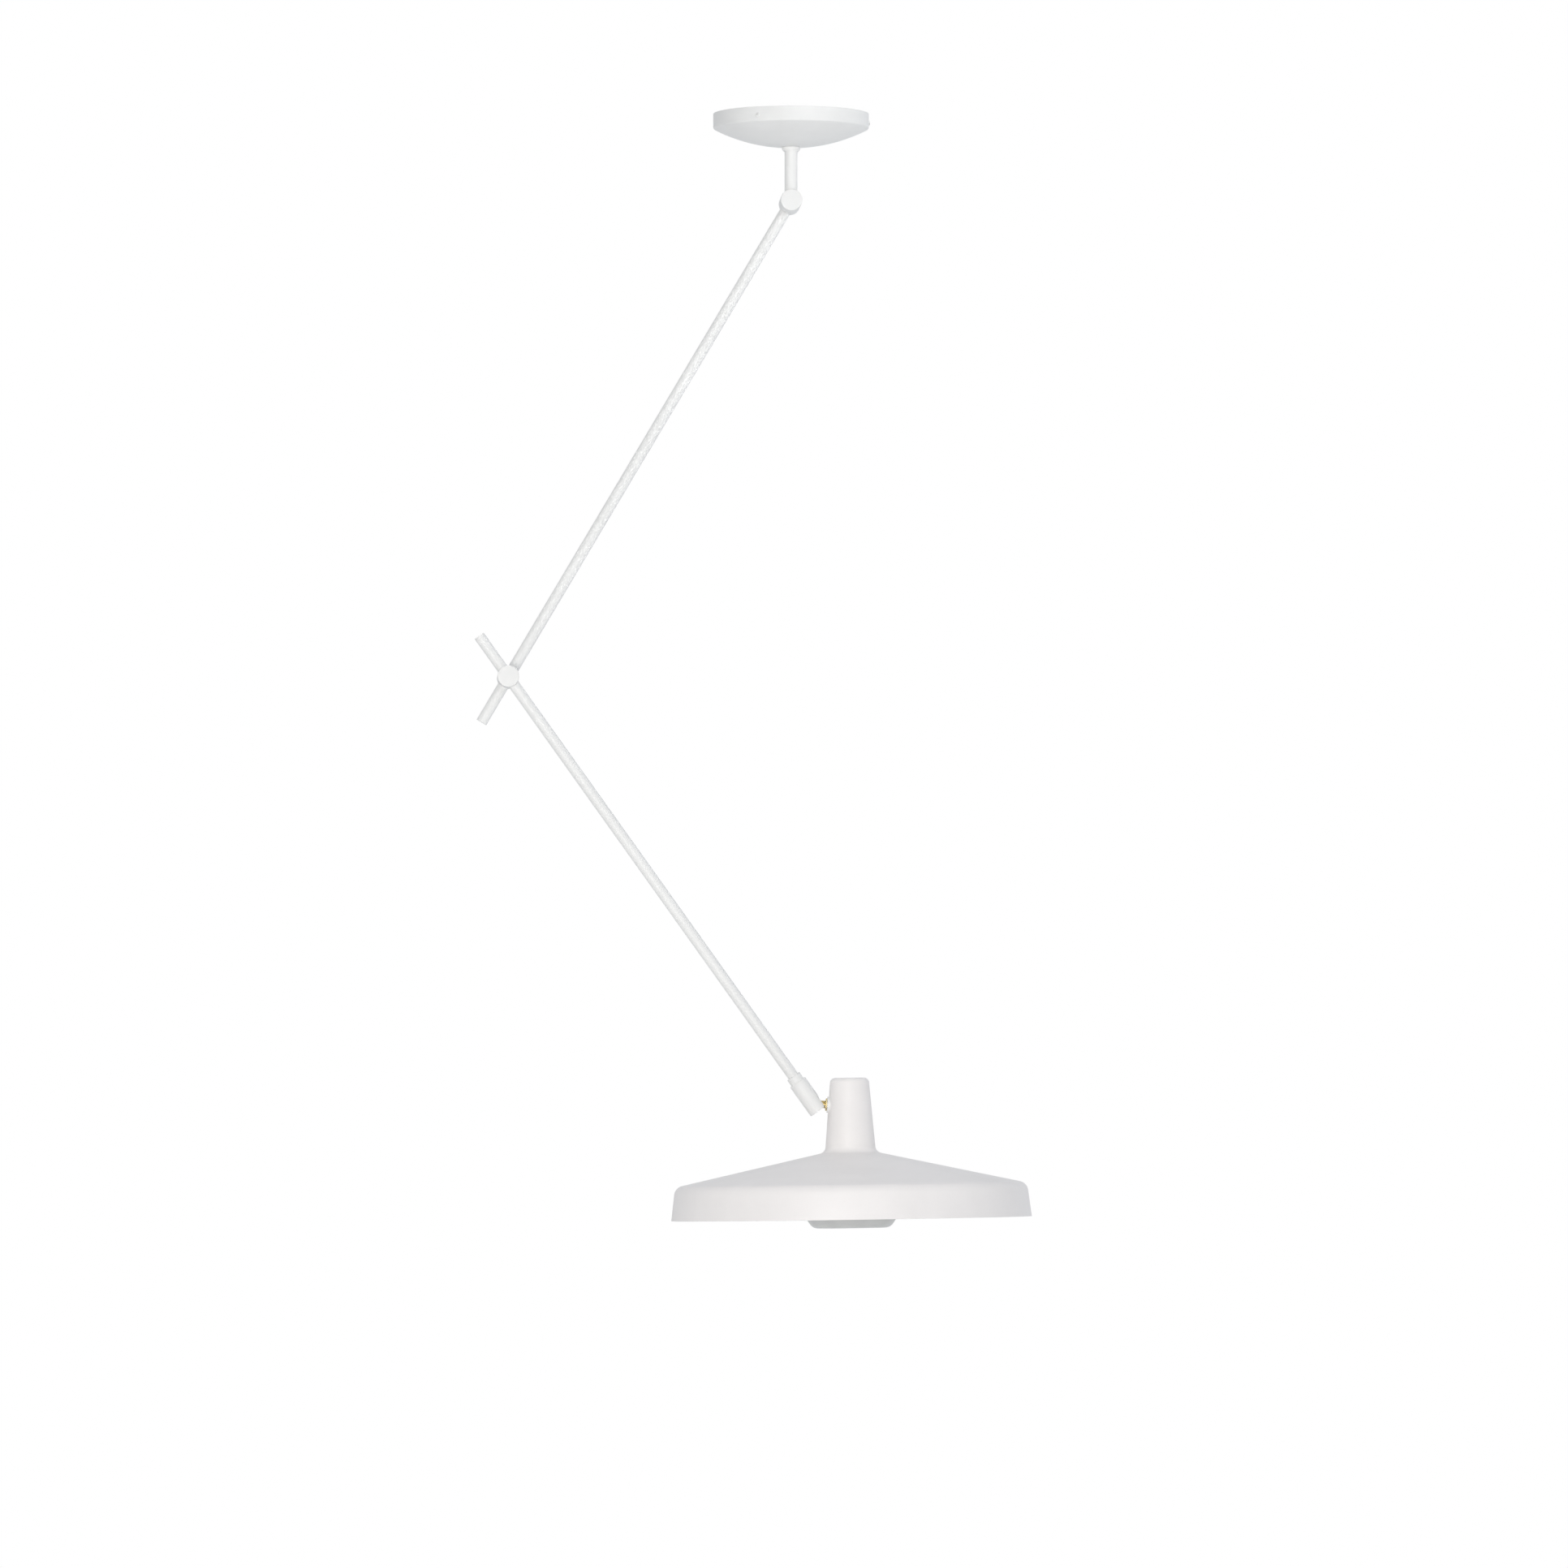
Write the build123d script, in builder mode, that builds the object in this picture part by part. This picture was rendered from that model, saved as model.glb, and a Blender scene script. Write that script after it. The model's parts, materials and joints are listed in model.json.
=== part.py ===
from build123d import *

import math
import os

# Ceiling-mounted arm lamp. Millimetres, +Z up. The origin is where the stem's axis
# meets the ceiling, so the whole lamp hangs below z = 0. The arms fold in the XZ plane.

# ---- driving dimensions ----

# canopy and its ceiling bracket
canopy_radius = 97.5
canopy_depth = 41.6
canopy_dome_radius = 213.0
canopy_corner = 2.5
canopy_sheet = 1.2
canopy_hole = 5.6
bracket_sheet = 2.0
bracket_cup_radius = 24.0
bracket_cup_depth = 30.0
bracket_flange_radius = 60.0
bracket_arm_width = 22.0
bracket_tab_radius = 95.2
bracket_tab_height = 17.0
ceiling_hole = 2.75
ceiling_hole_circle = 42.0
side_screw_height = -10.5
side_screw_heading = 242.3
side_screw_count = 3
side_screw_shank = 2.0
side_screw_play = 0.15
lock_nut_flats = 14.0
lock_nut_height = 4.5
nipple_top = -22.0
nipple_reach = 12.0
terminal_place = 74.0
terminal_length = 24.0
terminal_width = 17.0
terminal_height = 13.0
terminal_pitch = 8.0
terminal_screw_well = 1.7
terminal_wire_hole = 1.5
earth_screw_place = 72.0
earth_washer_radius = 4.5
earth_washer = 1.0

# stem, and the swivel half way down it
nipple_radius = 5.0
nipple_bore = 3.5
collar_radius = 11.25
collar_height = 4.0
collar_step_radius = 9.5
collar_step_height = 1.5
stem_radius = 8.0
stem_bore = 6.5
swivel_height = -64.5
swivel_wall = 5.0
stop_pin_circle = 6.5
stop_pin_radius = 0.7
stop_pin_depth = 3.0
stop_groove_play = 0.1
stop_groove_depth = 1.7
stop_block_width = 1.9
swivel_nut_radius = 6.3
swivel_nut_height = 5.0
swivel_washer_height = 0.8
stem_in_drum = 8.5
edge_chamfer = 0.4

# clearances
running_gap = 0.05
face_gap = 0.05

# hinge joints of the shoulder and the elbow: two drums on one axis along Y
shoulder_drop = 109.0
drum_radius = 13.5
drum_bore = 10.5
drum_length = 30.0
drum_web = 4.0
cap_thickness = 2.0
cap_chamfer = 0.8
pivot_radius = 4.0
pivot_bore = 2.6
hinge_pin_radius = 1.2
hinge_pin_circle = 10.3
hinge_groove_width = 2.7
hinge_groove_depth = 2.2
hinge_pin_depth = 3.0
friction_disc_radius = 8.3
friction_disc_half = 0.6
spring_washer_radius = 8.0
spring_washer_sheet = 0.6
spring_washer_lift = 0.4
pivot_head_flats = 12.0
pivot_head_height = 3.5
pivot_nut_flats = 11.0
pivot_nut_height = 2.75
cap_lip = 1.5
cap_lip_depth = 2.5
grub_radius = 2.0
grub_socket_flats = 2.0

# arms
tube_radius = 7.0
tube_bore = 5.5
wiring_hole = 3.0
upper_arm_length = 694.2
upper_arm_lean = 30.61
upper_arm_tail = 64.8
lower_arm_lean = 35.55
lower_arm_tail = 62.4
plug_thickness = 1.5
plug_spigot = 8.0
arm_in_drum = 8.8
shoulder_range = (-40, 45)
elbow_range = (-50, 65)

# ball swivel at the end of the lower arm, by distance from the elbow
ferrule_start = 612.8
ferrule_radius = 9.2
housing_start = 622.0
housing_end = 666.5
housing_radius = 11.35
housing_bore = 9.0
ball_place = 655.0
ball_radius = 8.0
stud_radius = 5.0
slot_half_width = 5.2
ball_play = 0.08
gland_thread_depth = 6.0
lower_arm_end = 632.0
arm_end_collar_radius = 8.8
arm_end_collar_length = 3.4
snap_ring_start = 633.0
snap_ring_bore = 6.2
snap_ring_gap = 3.0
snap_ring_sheet = 1.2
disc_spring_start = 634.3
disc_spring_count = 4
disc_spring_pitch = 1.7
disc_spring_lift = 0.8
disc_spring_sheet = 0.7
disc_spring_radius = 8.7
disc_spring_bore = 6.0
ball_seat_start = 641.2
ball_seat_bore = 5.5

# stud, by distance from the ball's centre
stud_reach = 19.4
stud_bore = 2.8
stud_length = 30.0
stud_nut_flats = 13.5
stud_nut_thickness = 2.0
saddle_radius = 9.9
saddle_thickness = 1.75
inner_saddle_radius = 8.5
inner_saddle_reach = 3.2
inner_nut_flats = 13.0
inner_nut_height = 3.5

# shade, by height above its rim
shade_radius = 225.0
shade_height = 175.7
shade_sheet = 1.2
rim_height = 41.8
rim_top_radius = 219.8
rim_corner = 13.0
tower_foot_height = 83.0
tower_foot_radius = 31.64
tower_foot_corner = 9.5
tower_top_radius = 24.0
tower_corner = 6.5
stud_height = 142.5
shade_tilt = 0.85

# lampholder, bulb and diffuser, by height above the shade's rim
holder_top = 127.5
holder_skirt_top = 104.0
holder_bottom = 80.0
holder_radius = 19.5
holder_neck_radius = 14.5
holder_floor = 7.5
lamp_thread_radius = 14.3
lamp_thread_bore = 13.5
lamp_nipple_bore = 3.5
contact_well = 11.0
contact_sheet = 1.0
contact_drop = 12.0
bracket_strip = 1.5
holder_ring_radius = 23.0
holder_ring_height = 4.0
bulb_cap_radius = 13.2
bulb_neck_height = 85.0
bulb_wall = 1.5
bulb_radius = 30.0
bulb_centre = 33.0
diffuser_drop = 11.6
diffuser_corner_radius = 48.4
diffuser_slope = 56.0
diffuser_corner = 12.5
diffuser_wall_corner = 8.0
diffuser_radius = 64.0
diffuser_top = 28.0
diffuser_wall = 2.5
spider_height = 96.75
spider_legs = 3
strap = 1.4
strap_radius = diffuser_radius + strap / 2 + 0.1
strap_half_width = 4.0
strap_knee = 72.0
spider_ring_radius = 27.0
spider_ring_half = 0.75
thumbscrew_shank = 1.5
thumbscrew_hole = 1.6
thumbscrew_head = 4.0
thumbscrew_drop = 6.0


# ---- places ----

def direction(lean_degrees):
    """Unit vector in the XZ plane, turned from straight down towards +X."""
    lean = math.radians(lean_degrees)
    return Vector(math.sin(lean), 0, -math.cos(lean))


tower_taper = math.degrees(
    math.atan((tower_foot_radius - tower_top_radius) / (shade_height - tower_foot_height))
)
upper_arm_way = direction(-upper_arm_lean)
lower_arm_way = direction(lower_arm_lean)
stud_way = direction(90 - tower_taper + shade_tilt)

shoulder = Vector(0, 0, -shoulder_drop)
elbow = shoulder + upper_arm_way * upper_arm_length
ball = elbow + lower_arm_way * ball_place
stud_meets_tower = ball + stud_way * stud_reach

shade_across = direction(90 + shade_tilt)
shade_up = Vector(-math.sin(math.radians(shade_tilt)), 0, math.cos(math.radians(shade_tilt)))
tower_radius_at_stud = tower_top_radius + (shade_height - stud_height) * math.tan(
    math.radians(tower_taper)
)
rim_centre = stud_meets_tower + shade_across * tower_radius_at_stud - shade_up * stud_height

# Each frame's Z axis is the axis that its pieces are turned about.
stem_frame = Plane.XY
shoulder_frame = Plane(origin=shoulder, x_dir=(1, 0, 0), z_dir=(0, 1, 0))
elbow_frame = Plane(origin=elbow, x_dir=(1, 0, 0), z_dir=(0, 1, 0))
upper_arm_frame = Plane(
    origin=shoulder + Vector(0, drum_length, 0), x_dir=(0, 1, 0), z_dir=upper_arm_way
)
elbow_upper_arm_frame = Plane(
    origin=elbow + Vector(0, drum_length, 0), x_dir=(0, 1, 0), z_dir=upper_arm_way
)
lower_arm_frame = Plane(origin=elbow, x_dir=(0, 1, 0), z_dir=lower_arm_way)
lower_arm_back_frame = Plane(origin=elbow, x_dir=(0, 1, 0), z_dir=-lower_arm_way)
stud_frame = Plane(origin=ball, x_dir=(0, 1, 0), z_dir=stud_way)
shade_frame = Plane(origin=rim_centre, x_dir=shade_across, z_dir=shade_up)


# ---- helpers, used inside a sub-part's block ----

def side_of(frame):
    """The plane that holds the frame's Z axis: X is the radius, Y the height."""
    return Plane(origin=frame.origin, x_dir=frame.x_dir, z_dir=-frame.y_dir)


def axis_of(frame):
    return Axis(frame.origin, frame.z_dir)


def turn(frame, outline, mode=Mode.ADD):
    """Solid of revolution from an outline of (radius, height) points."""
    with BuildSketch(side_of(frame), mode=Mode.PRIVATE) as profile:
        with BuildLine():
            Polyline(*outline, close=True)
        make_face()
    revolve(profile.sketch, axis=axis_of(frame), mode=mode)


def rod(frame, radius, low, high, mode=Mode.ADD):
    """Cylinder about the frame's Z axis between two heights."""
    with BuildSketch(frame.offset(low), mode=Mode.PRIVATE) as circle:
        Circle(radius)
    extrude(circle.sketch, amount=high - low, mode=mode)


def tube(frame, outer, inner, low, high, mode=Mode.ADD):
    with BuildSketch(frame.offset(low), mode=Mode.PRIVATE) as section:
        Circle(outer)
        Circle(inner, mode=Mode.SUBTRACT)
    extrude(section.sketch, amount=high - low, mode=mode)


def hexagon(frame, across_flats, low, high, mode=Mode.ADD):
    with BuildSketch(frame.offset(low), mode=Mode.PRIVATE) as section:
        RegularPolygon(radius=across_flats / 2, side_count=6, major_radius=False, rotation=30)
    extrude(section.sketch, amount=high - low, mode=mode)


def block(frame, size_x, size_y, low, high, x=0.0, y=0.0, mode=Mode.ADD):
    with BuildSketch(frame.offset(low), mode=Mode.PRIVATE) as section:
        with Locations((x, y)):
            Rectangle(size_x, size_y)
    extrude(section.sketch, amount=high - low, mode=mode)


def radial_frame(frame, heading, height):
    """A frame at this height whose Z axis points outwards from the given frame's axis."""
    angle = math.radians(heading)
    outwards = frame.x_dir * math.cos(angle) + frame.y_dir * math.sin(angle)
    return Plane(origin=frame.origin + frame.z_dir * height, x_dir=frame.z_dir, z_dir=outwards)


def along_frame(frame, heading):
    """The same origin and Z axis, with X turned to the heading."""
    angle = math.radians(heading)
    x_dir = frame.x_dir * math.cos(angle) + frame.y_dir * math.sin(angle)
    return Plane(origin=frame.origin, x_dir=x_dir, z_dir=frame.z_dir)


def save(part, name):
    part.label = name
    export_step(part, f"parts/{name}.step")


# ---- canopy ----

def canopy_side_headings():
    return [side_screw_heading + 360 / side_screw_count * index for index in range(side_screw_count)]


def make_ceiling_bracket():
    """Pressed plate: a flat flange on the ceiling, a cup that leaves room for the nipple's
    lock nut, and three arms whose tabs hold the canopy."""
    cup_bore = bracket_cup_radius - bracket_sheet
    with BuildPart() as bracket:
        turn(stem_frame, [
            (nipple_radius, -bracket_cup_depth),
            (bracket_cup_radius, -bracket_cup_depth),
            (bracket_cup_radius, -bracket_sheet),
            (bracket_flange_radius, -bracket_sheet),
            (bracket_flange_radius, 0),
            (cup_bore, 0),
            (cup_bore, bracket_sheet - bracket_cup_depth),
            (nipple_radius, bracket_sheet - bracket_cup_depth),
        ])
        for heading in canopy_side_headings():
            arm = along_frame(stem_frame, heading)
            reach = bracket_tab_radius - bracket_cup_radius
            middle = (bracket_tab_radius + bracket_cup_radius) / 2
            tab = bracket_tab_radius - bracket_sheet / 2
            block(arm, reach, bracket_arm_width, -bracket_sheet, 0, x=middle)
            block(arm, bracket_sheet, bracket_arm_width, -bracket_tab_height, 0, x=tab)
            screw = radial_frame(stem_frame, heading, side_screw_height)
            rod(screw, side_screw_shank, tab - bracket_sheet, tab + bracket_sheet, mode=Mode.SUBTRACT)
            between = math.radians(heading + 180 / side_screw_count)
            hole = Plane(origin=(
                ceiling_hole_circle * math.cos(between), ceiling_hole_circle * math.sin(between), 0
            ))
            rod(hole, ceiling_hole, -2 * bracket_sheet, bracket_sheet, mode=Mode.SUBTRACT)
    save(bracket.part, "ceiling_bracket")


def make_canopy_cover():
    """Spun cover: a short upright wall and a shallow dome."""
    dome_centre = canopy_dome_radius - canopy_depth
    inner_dome = canopy_dome_radius - canopy_sheet
    inner_radius = canopy_radius - canopy_sheet

    def dome_height(dome, radius):
        return dome_centre - math.sqrt(dome ** 2 - radius ** 2)

    def fill(dome, wall, corner, mode):
        with BuildSketch(side_of(stem_frame), mode=Mode.PRIVATE) as profile:
            with BuildLine():
                lowest = (0, dome_height(dome, 0))
                edge = (wall, dome_height(dome, wall))
                half_way = (wall / 2, dome_height(dome, wall / 2))
                ThreePointArc(lowest, half_way, edge)
                Polyline(edge, (wall, 0), (0, 0), lowest)
            make_face()
            rim = [v for v in profile.vertices() if abs(v.X - wall) < 0.01 and v.Y < -1]
            fillet(rim, corner)
        revolve(profile.sketch, axis=axis_of(stem_frame), mode=mode)

    with BuildPart() as cover:
        fill(canopy_dome_radius, canopy_radius, canopy_corner, Mode.ADD)
        fill(inner_dome, inner_radius, canopy_corner - canopy_sheet, Mode.SUBTRACT)
        rod(stem_frame, canopy_hole, -canopy_depth - 1, 0, mode=Mode.SUBTRACT)
        for heading in canopy_side_headings():
            screw = radial_frame(stem_frame, heading, side_screw_height)
            rod(
                screw, side_screw_shank + side_screw_play, canopy_radius - 5, canopy_radius + 2,
                mode=Mode.SUBTRACT,
            )
    save(cover.part, "canopy_cover")


def pan_head_screw(frame, seat, head_radius, head_height, shank_radius, shank_length):
    """Cross-recessed screw whose head sits at this height, with its shank going down."""
    half = head_radius * 0.72
    rod(frame, shank_radius, seat - shank_length, seat)
    turn(frame, [
        (0, seat),
        (head_radius, seat),
        (head_radius, seat + 0.55 * head_height),
        (0.7 * head_radius, seat + head_height),
        (0, seat + head_height),
    ])
    for width, depth in ((2 * half, head_radius * 0.28), (head_radius * 0.28, 2 * half)):
        block(frame, width, depth, seat + 0.35 * head_height, seat + 2 * head_height, mode=Mode.SUBTRACT)


def make_canopy_side_screws():
    with BuildPart() as screws:
        for heading in canopy_side_headings():
            screw = radial_frame(stem_frame, heading, side_screw_height)
            pan_head_screw(screw, canopy_radius, 2.9, 1.9, 2.0, 9.0)
    save(screws.part, "canopy_side_screws")


def make_canopy_nipple():
    with BuildPart() as nipple:
        tube(stem_frame, nipple_radius, nipple_bore, swivel_height - nipple_reach, nipple_top)
    save(nipple.part, "canopy_nipple")


def make_nipple_lock_nuts():
    """One nut above the bracket's cup floor and one below it."""
    floor_top = bracket_sheet - bracket_cup_depth
    upper_end = floor_top + lock_nut_height
    lower_end = -bracket_cup_depth - lock_nut_height
    with BuildPart() as nuts:
        hexagon(stem_frame, lock_nut_flats, floor_top, upper_end)
        hexagon(stem_frame, lock_nut_flats, lower_end, -bracket_cup_depth)
        rod(stem_frame, nipple_radius, lower_end - 1, upper_end + 1, mode=Mode.SUBTRACT)
    save(nuts.part, "nipple_lock_nuts")


def make_terminal_block():
    """Three-pole insulating block on the underside of one bracket arm."""
    heading = side_screw_heading - 360 / side_screw_count
    arm = along_frame(stem_frame, heading)
    underside = -bracket_sheet - terminal_height
    wire_height = -bracket_sheet - 0.6 * terminal_height
    with BuildPart() as terminals:
        block(arm, terminal_length, terminal_width, underside, -bracket_sheet, x=terminal_place)
        for pole in (-terminal_pitch, 0, terminal_pitch):
            middle = arm.from_local_coords(Vector(terminal_place + pole, 0, 0))
            for side in (-0.3 * terminal_width, 0.3 * terminal_width):
                well = Plane(origin=middle + arm.y_dir * side)
                rod(well, terminal_screw_well, underside - 1, underside + 5, mode=Mode.SUBTRACT)
            wire = Plane(
                origin=middle + Vector(0, 0, wire_height), x_dir=(0, 0, 1), z_dir=arm.y_dir
            )
            rod(wire, terminal_wire_hole, -terminal_width, terminal_width, mode=Mode.SUBTRACT)
    save(terminals.part, "terminal_block")


def make_earth_screw():
    """Screw with its clamping washer under the bracket's second arm."""
    arm = along_frame(stem_frame, side_screw_heading + 360 / side_screw_count)
    place = Plane(origin=arm.x_dir * earth_screw_place, z_dir=(0, 0, -1))
    seat = bracket_sheet + earth_washer
    with BuildPart() as earth:
        pan_head_screw(place, seat, 3.6, 2.4, 2.0, earth_washer)
        rod(place, earth_washer_radius, bracket_sheet, seat)
    save(earth.part, "earth_screw")


# ---- stem and its swivel ----

def make_stem_collar():
    top = -canopy_depth
    step = top - collar_height
    with BuildPart() as collar:
        turn(stem_frame, [
            (nipple_radius, top),
            (collar_radius, top),
            (collar_radius, step + 2 * edge_chamfer),
            (collar_radius - 2 * edge_chamfer, step),
            (collar_step_radius, step),
            (collar_step_radius, step - collar_step_height),
            (nipple_radius, step - collar_step_height),
        ])
    save(collar.part, "stem_collar")


def make_upper_stem():
    """Sleeve on the nipple, drilled for the swivel's stop pin."""
    top = -canopy_depth - collar_height - collar_step_height
    with BuildPart() as sleeve:
        tube(stem_frame, stem_radius, nipple_radius, swivel_height, top)
        pin = Plane(origin=(0, stop_pin_circle, 0))
        rod(
            pin, stop_pin_radius, swivel_height - 1, swivel_height + stop_pin_depth,
            mode=Mode.SUBTRACT,
        )
    save(sleeve.part, "upper_stem")


def make_swivel_stop_pin():
    with BuildPart() as stop:
        pin = Plane(origin=(0, stop_pin_circle, 0))
        rod(
            pin, stop_pin_radius, swivel_height - 2 * stop_pin_radius,
            swivel_height + stop_pin_depth,
        )
    save(stop.part, "swivel_stop_pin")


def make_lower_stem():
    """Tube that turns on the nipple. The ring groove in its top face takes the stop pin and
    is closed by a small block at the front, which the pin meets at either end of its travel."""
    top = swivel_height - 2 * face_gap
    shoulder_entry = -shoulder_drop + stem_in_drum
    groove_inner = stop_pin_circle - stop_pin_radius - stop_groove_play
    groove_outer = stop_pin_circle + stop_pin_radius + stop_groove_play
    groove_floor = top - stop_groove_depth
    with BuildPart() as stem:
        rod(stem_frame, stem_radius, shoulder_entry, top)
        rod(stem_frame, nipple_radius + running_gap, top - swivel_wall, top, mode=Mode.SUBTRACT)
        rod(stem_frame, stem_bore, shoulder_entry, top - swivel_wall, mode=Mode.SUBTRACT)
        tube(stem_frame, groove_outer, groove_inner, groove_floor, top, mode=Mode.SUBTRACT)
        block(
            stem_frame, stop_block_width, groove_outer - groove_inner + 2 * stop_groove_play,
            groove_floor - stop_groove_play, top, y=-stop_pin_circle,
        )
    save(stem.part, "lower_stem")


def make_swivel_washer():
    top = swivel_height - 3 * face_gap - swivel_wall
    with BuildPart() as washer:
        tube(stem_frame, swivel_nut_radius, nipple_radius, top - swivel_washer_height, top)
    save(washer.part, "swivel_washer")


def make_swivel_nut():
    """Round slotted nut that carries the whole lamp below the swivel."""
    top = swivel_height - 3 * face_gap - swivel_wall - swivel_washer_height
    foot = top - swivel_nut_height
    with BuildPart() as nut:
        tube(stem_frame, swivel_nut_radius, nipple_radius, foot, top)
        block(stem_frame, 1.6, 3 * swivel_nut_radius, foot - 1, foot + 1.4, mode=Mode.SUBTRACT)
    save(nut.part, "swivel_nut")


# ---- hinge joints ----
# Heights run along the hinge's axis from the front drum's middle, towards the back.

seam = drum_length / 2
front_end = -drum_length / 2
rear_end = 1.5 * drum_length


def drum_barrel(frame, hub_bore, low, high, web_low, face):
    """Hollow drum with one web, and a shallow seat for the friction disc in the web's face."""
    tube(frame, drum_radius, drum_bore, low, high)
    tube(frame, drum_bore + 0.5, hub_bore, web_low, web_low + drum_web)
    seat = sorted((face, face + (friction_disc_half if face == web_low else -friction_disc_half)))
    rod(frame, friction_disc_radius + 0.1, *seat, mode=Mode.SUBTRACT)


def drill_for_grub(tube_frame, heading):
    rod(radial_frame(tube_frame, heading, 0), grub_radius, 0, 2 * drum_radius, mode=Mode.SUBTRACT)


def make_front_drum(name, frame, pin_travel, tube_frame, bore, reach_back, grub_heading=None):
    """Drum with its web at the seam: it holds the pivot and the stop groove."""
    with BuildPart() as drum:
        drum_barrel(frame, pivot_radius, front_end + cap_thickness, seam, seam - drum_web, seam)
        cut_stop_groove(frame, pin_travel)
        rod(tube_frame, bore, -reach_back, 2 * drum_radius, mode=Mode.SUBTRACT)
        if grub_heading is not None:
            drill_for_grub(tube_frame, grub_heading)
    save(drum.part, name)


def cut_stop_groove(frame, pin_travel):
    """Arc-shaped groove that the rear drum's pin runs in, from limit to limit."""
    margin = math.degrees(math.asin(hinge_pin_radius / hinge_pin_circle)) + 0.5
    start, end = pin_travel[0] - margin, pin_travel[1] + margin
    with BuildSketch(side_of(along_frame(frame, start)), mode=Mode.PRIVATE) as profile:
        with Locations((hinge_pin_circle, seam - hinge_groove_depth / 2 + 0.5)):
            Rectangle(hinge_groove_width, hinge_groove_depth + 1.0)
    revolve(profile.sketch, axis=axis_of(frame), revolution_arc=end - start, mode=Mode.SUBTRACT)


def hinge_pin_frame(frame):
    place = frame.origin + frame.x_dir * hinge_pin_circle
    return Plane(origin=place, x_dir=frame.x_dir, z_dir=frame.z_dir)


def make_rear_drum(name, frame, tube_frame, reach_back, grub_heading=None):
    """Drum that turns on the pivot, with the stop pin pressed into its web."""
    low = seam + face_gap
    with BuildPart() as drum:
        drum_barrel(frame, pivot_radius + running_gap, low, rear_end - cap_thickness, low, low)
        rod(
            hinge_pin_frame(frame), hinge_pin_radius, low - 1, low + hinge_pin_depth,
            mode=Mode.SUBTRACT,
        )
        rod(tube_frame, tube_radius, -reach_back, 2 * drum_radius, mode=Mode.SUBTRACT)
        if grub_heading is not None:
            drill_for_grub(tube_frame, grub_heading)
    save(drum.part, name)


def make_hinge_hardware(prefix, frame):
    """Everything inside a hinge: hollow pivot bolt, friction disc, spring washer, nut and
    stop pin, and the two end caps."""
    web_front = seam - drum_web
    web_back = seam + face_gap + drum_web
    spring_top = web_back + face_gap + spring_washer_sheet
    nut_low = spring_top + spring_washer_lift
    nut_high = nut_low + pivot_nut_height
    head_low = web_front - pivot_head_height
    with BuildPart() as bolt:
        rod(frame, pivot_radius, web_front - 1, nut_high + face_gap)
        hexagon(frame, pivot_head_flats, head_low, web_front)
        rod(frame, pivot_bore, head_low - 1, nut_high + 1, mode=Mode.SUBTRACT)
    save(bolt.part, f"{prefix}_pivot_bolt")

    with BuildPart() as disc:
        tube(
            frame, friction_disc_radius, pivot_radius,
            seam - friction_disc_half, seam + friction_disc_half,
        )
    save(disc.part, f"{prefix}_friction_disc")

    with BuildPart() as spring:
        turn(frame, [
            (pivot_radius, nut_low - spring_washer_sheet),
            (spring_washer_radius, spring_top - spring_washer_sheet),
            (spring_washer_radius, spring_top),
            (pivot_radius, nut_low),
        ])
    save(spring.part, f"{prefix}_spring_washer")

    with BuildPart() as nut:
        hexagon(frame, pivot_nut_flats, nut_low, nut_high)
        rod(frame, pivot_radius, nut_low - 1, nut_high + 1, mode=Mode.SUBTRACT)
    save(nut.part, f"{prefix}_pivot_nut")

    with BuildPart() as pin:
        rod(
            hinge_pin_frame(frame), hinge_pin_radius,
            seam - hinge_groove_depth + 0.2, seam + face_gap + hinge_pin_depth,
        )
    save(pin.part, f"{prefix}_stop_pin")

    for side, end, inwards in (("front", front_end, 1), ("rear", rear_end, -1)):
        cap_frame = Plane(
            origin=frame.origin + frame.z_dir * end, x_dir=(1, 0, 0), z_dir=frame.z_dir * inwards
        )
        lip_end = cap_thickness + cap_lip_depth
        with BuildPart() as cap:
            turn(cap_frame, [
                (0, 0),
                (drum_radius - cap_chamfer, 0),
                (drum_radius, cap_chamfer),
                (drum_radius, cap_thickness),
                (drum_bore, cap_thickness),
                (drum_bore, lip_end),
                (drum_bore - cap_lip, lip_end),
                (drum_bore - cap_lip, cap_thickness),
                (0, cap_thickness),
            ])
        save(cap.part, f"{prefix}_{side}_cap")


# ---- arms ----

def make_arm_tube(name, frame, low, high, hole_at, hole_heading):
    with BuildPart() as arm:
        tube(frame, tube_radius, tube_bore, low, high)
        side = radial_frame(frame, hole_heading, hole_at)
        rod(side, wiring_hole, 0, 2 * tube_radius, mode=Mode.SUBTRACT)
    save(arm.part, name)


def make_tail_plug(name, frame):
    """Flat plug: the frame's Z axis points out of the tube, and z = 0 is the outer face."""
    with BuildPart() as plug:
        rod(frame, tube_radius, -plug_thickness, 0)
        rod(frame, tube_bore, -plug_thickness - plug_spigot, -plug_thickness)
        rod(
            frame, tube_bore - 1.5, -plug_thickness - plug_spigot - 1, -plug_thickness,
            mode=Mode.SUBTRACT,
        )
    save(plug.part, name)


def make_grub_screw(name, frame, heading):
    """Headless screw that clamps the tube in its drum."""
    side = radial_frame(frame, heading, 0)
    with BuildPart() as grub:
        rod(side, grub_radius, tube_radius, drum_radius - 0.3)
        hexagon(side, grub_socket_flats, drum_radius - 2.5, drum_radius + 1, mode=Mode.SUBTRACT)
    save(grub.part, name)


# ---- ball swivel ----

def make_ferrule():
    """Gland nut in the top of the housing: it turns on the tube and traps the collar."""
    thread_end = housing_start + gland_thread_depth
    with BuildPart() as ferrule:
        turn(lower_arm_frame, [
            (tube_radius + running_gap, ferrule_start),
            (ferrule_radius - edge_chamfer, ferrule_start),
            (ferrule_radius, ferrule_start + edge_chamfer),
            (ferrule_radius, housing_start),
            (housing_bore, housing_start),
            (housing_bore, thread_end),
            (tube_radius + running_gap, thread_end),
        ])
    save(ferrule.part, "housing_ferrule")


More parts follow.
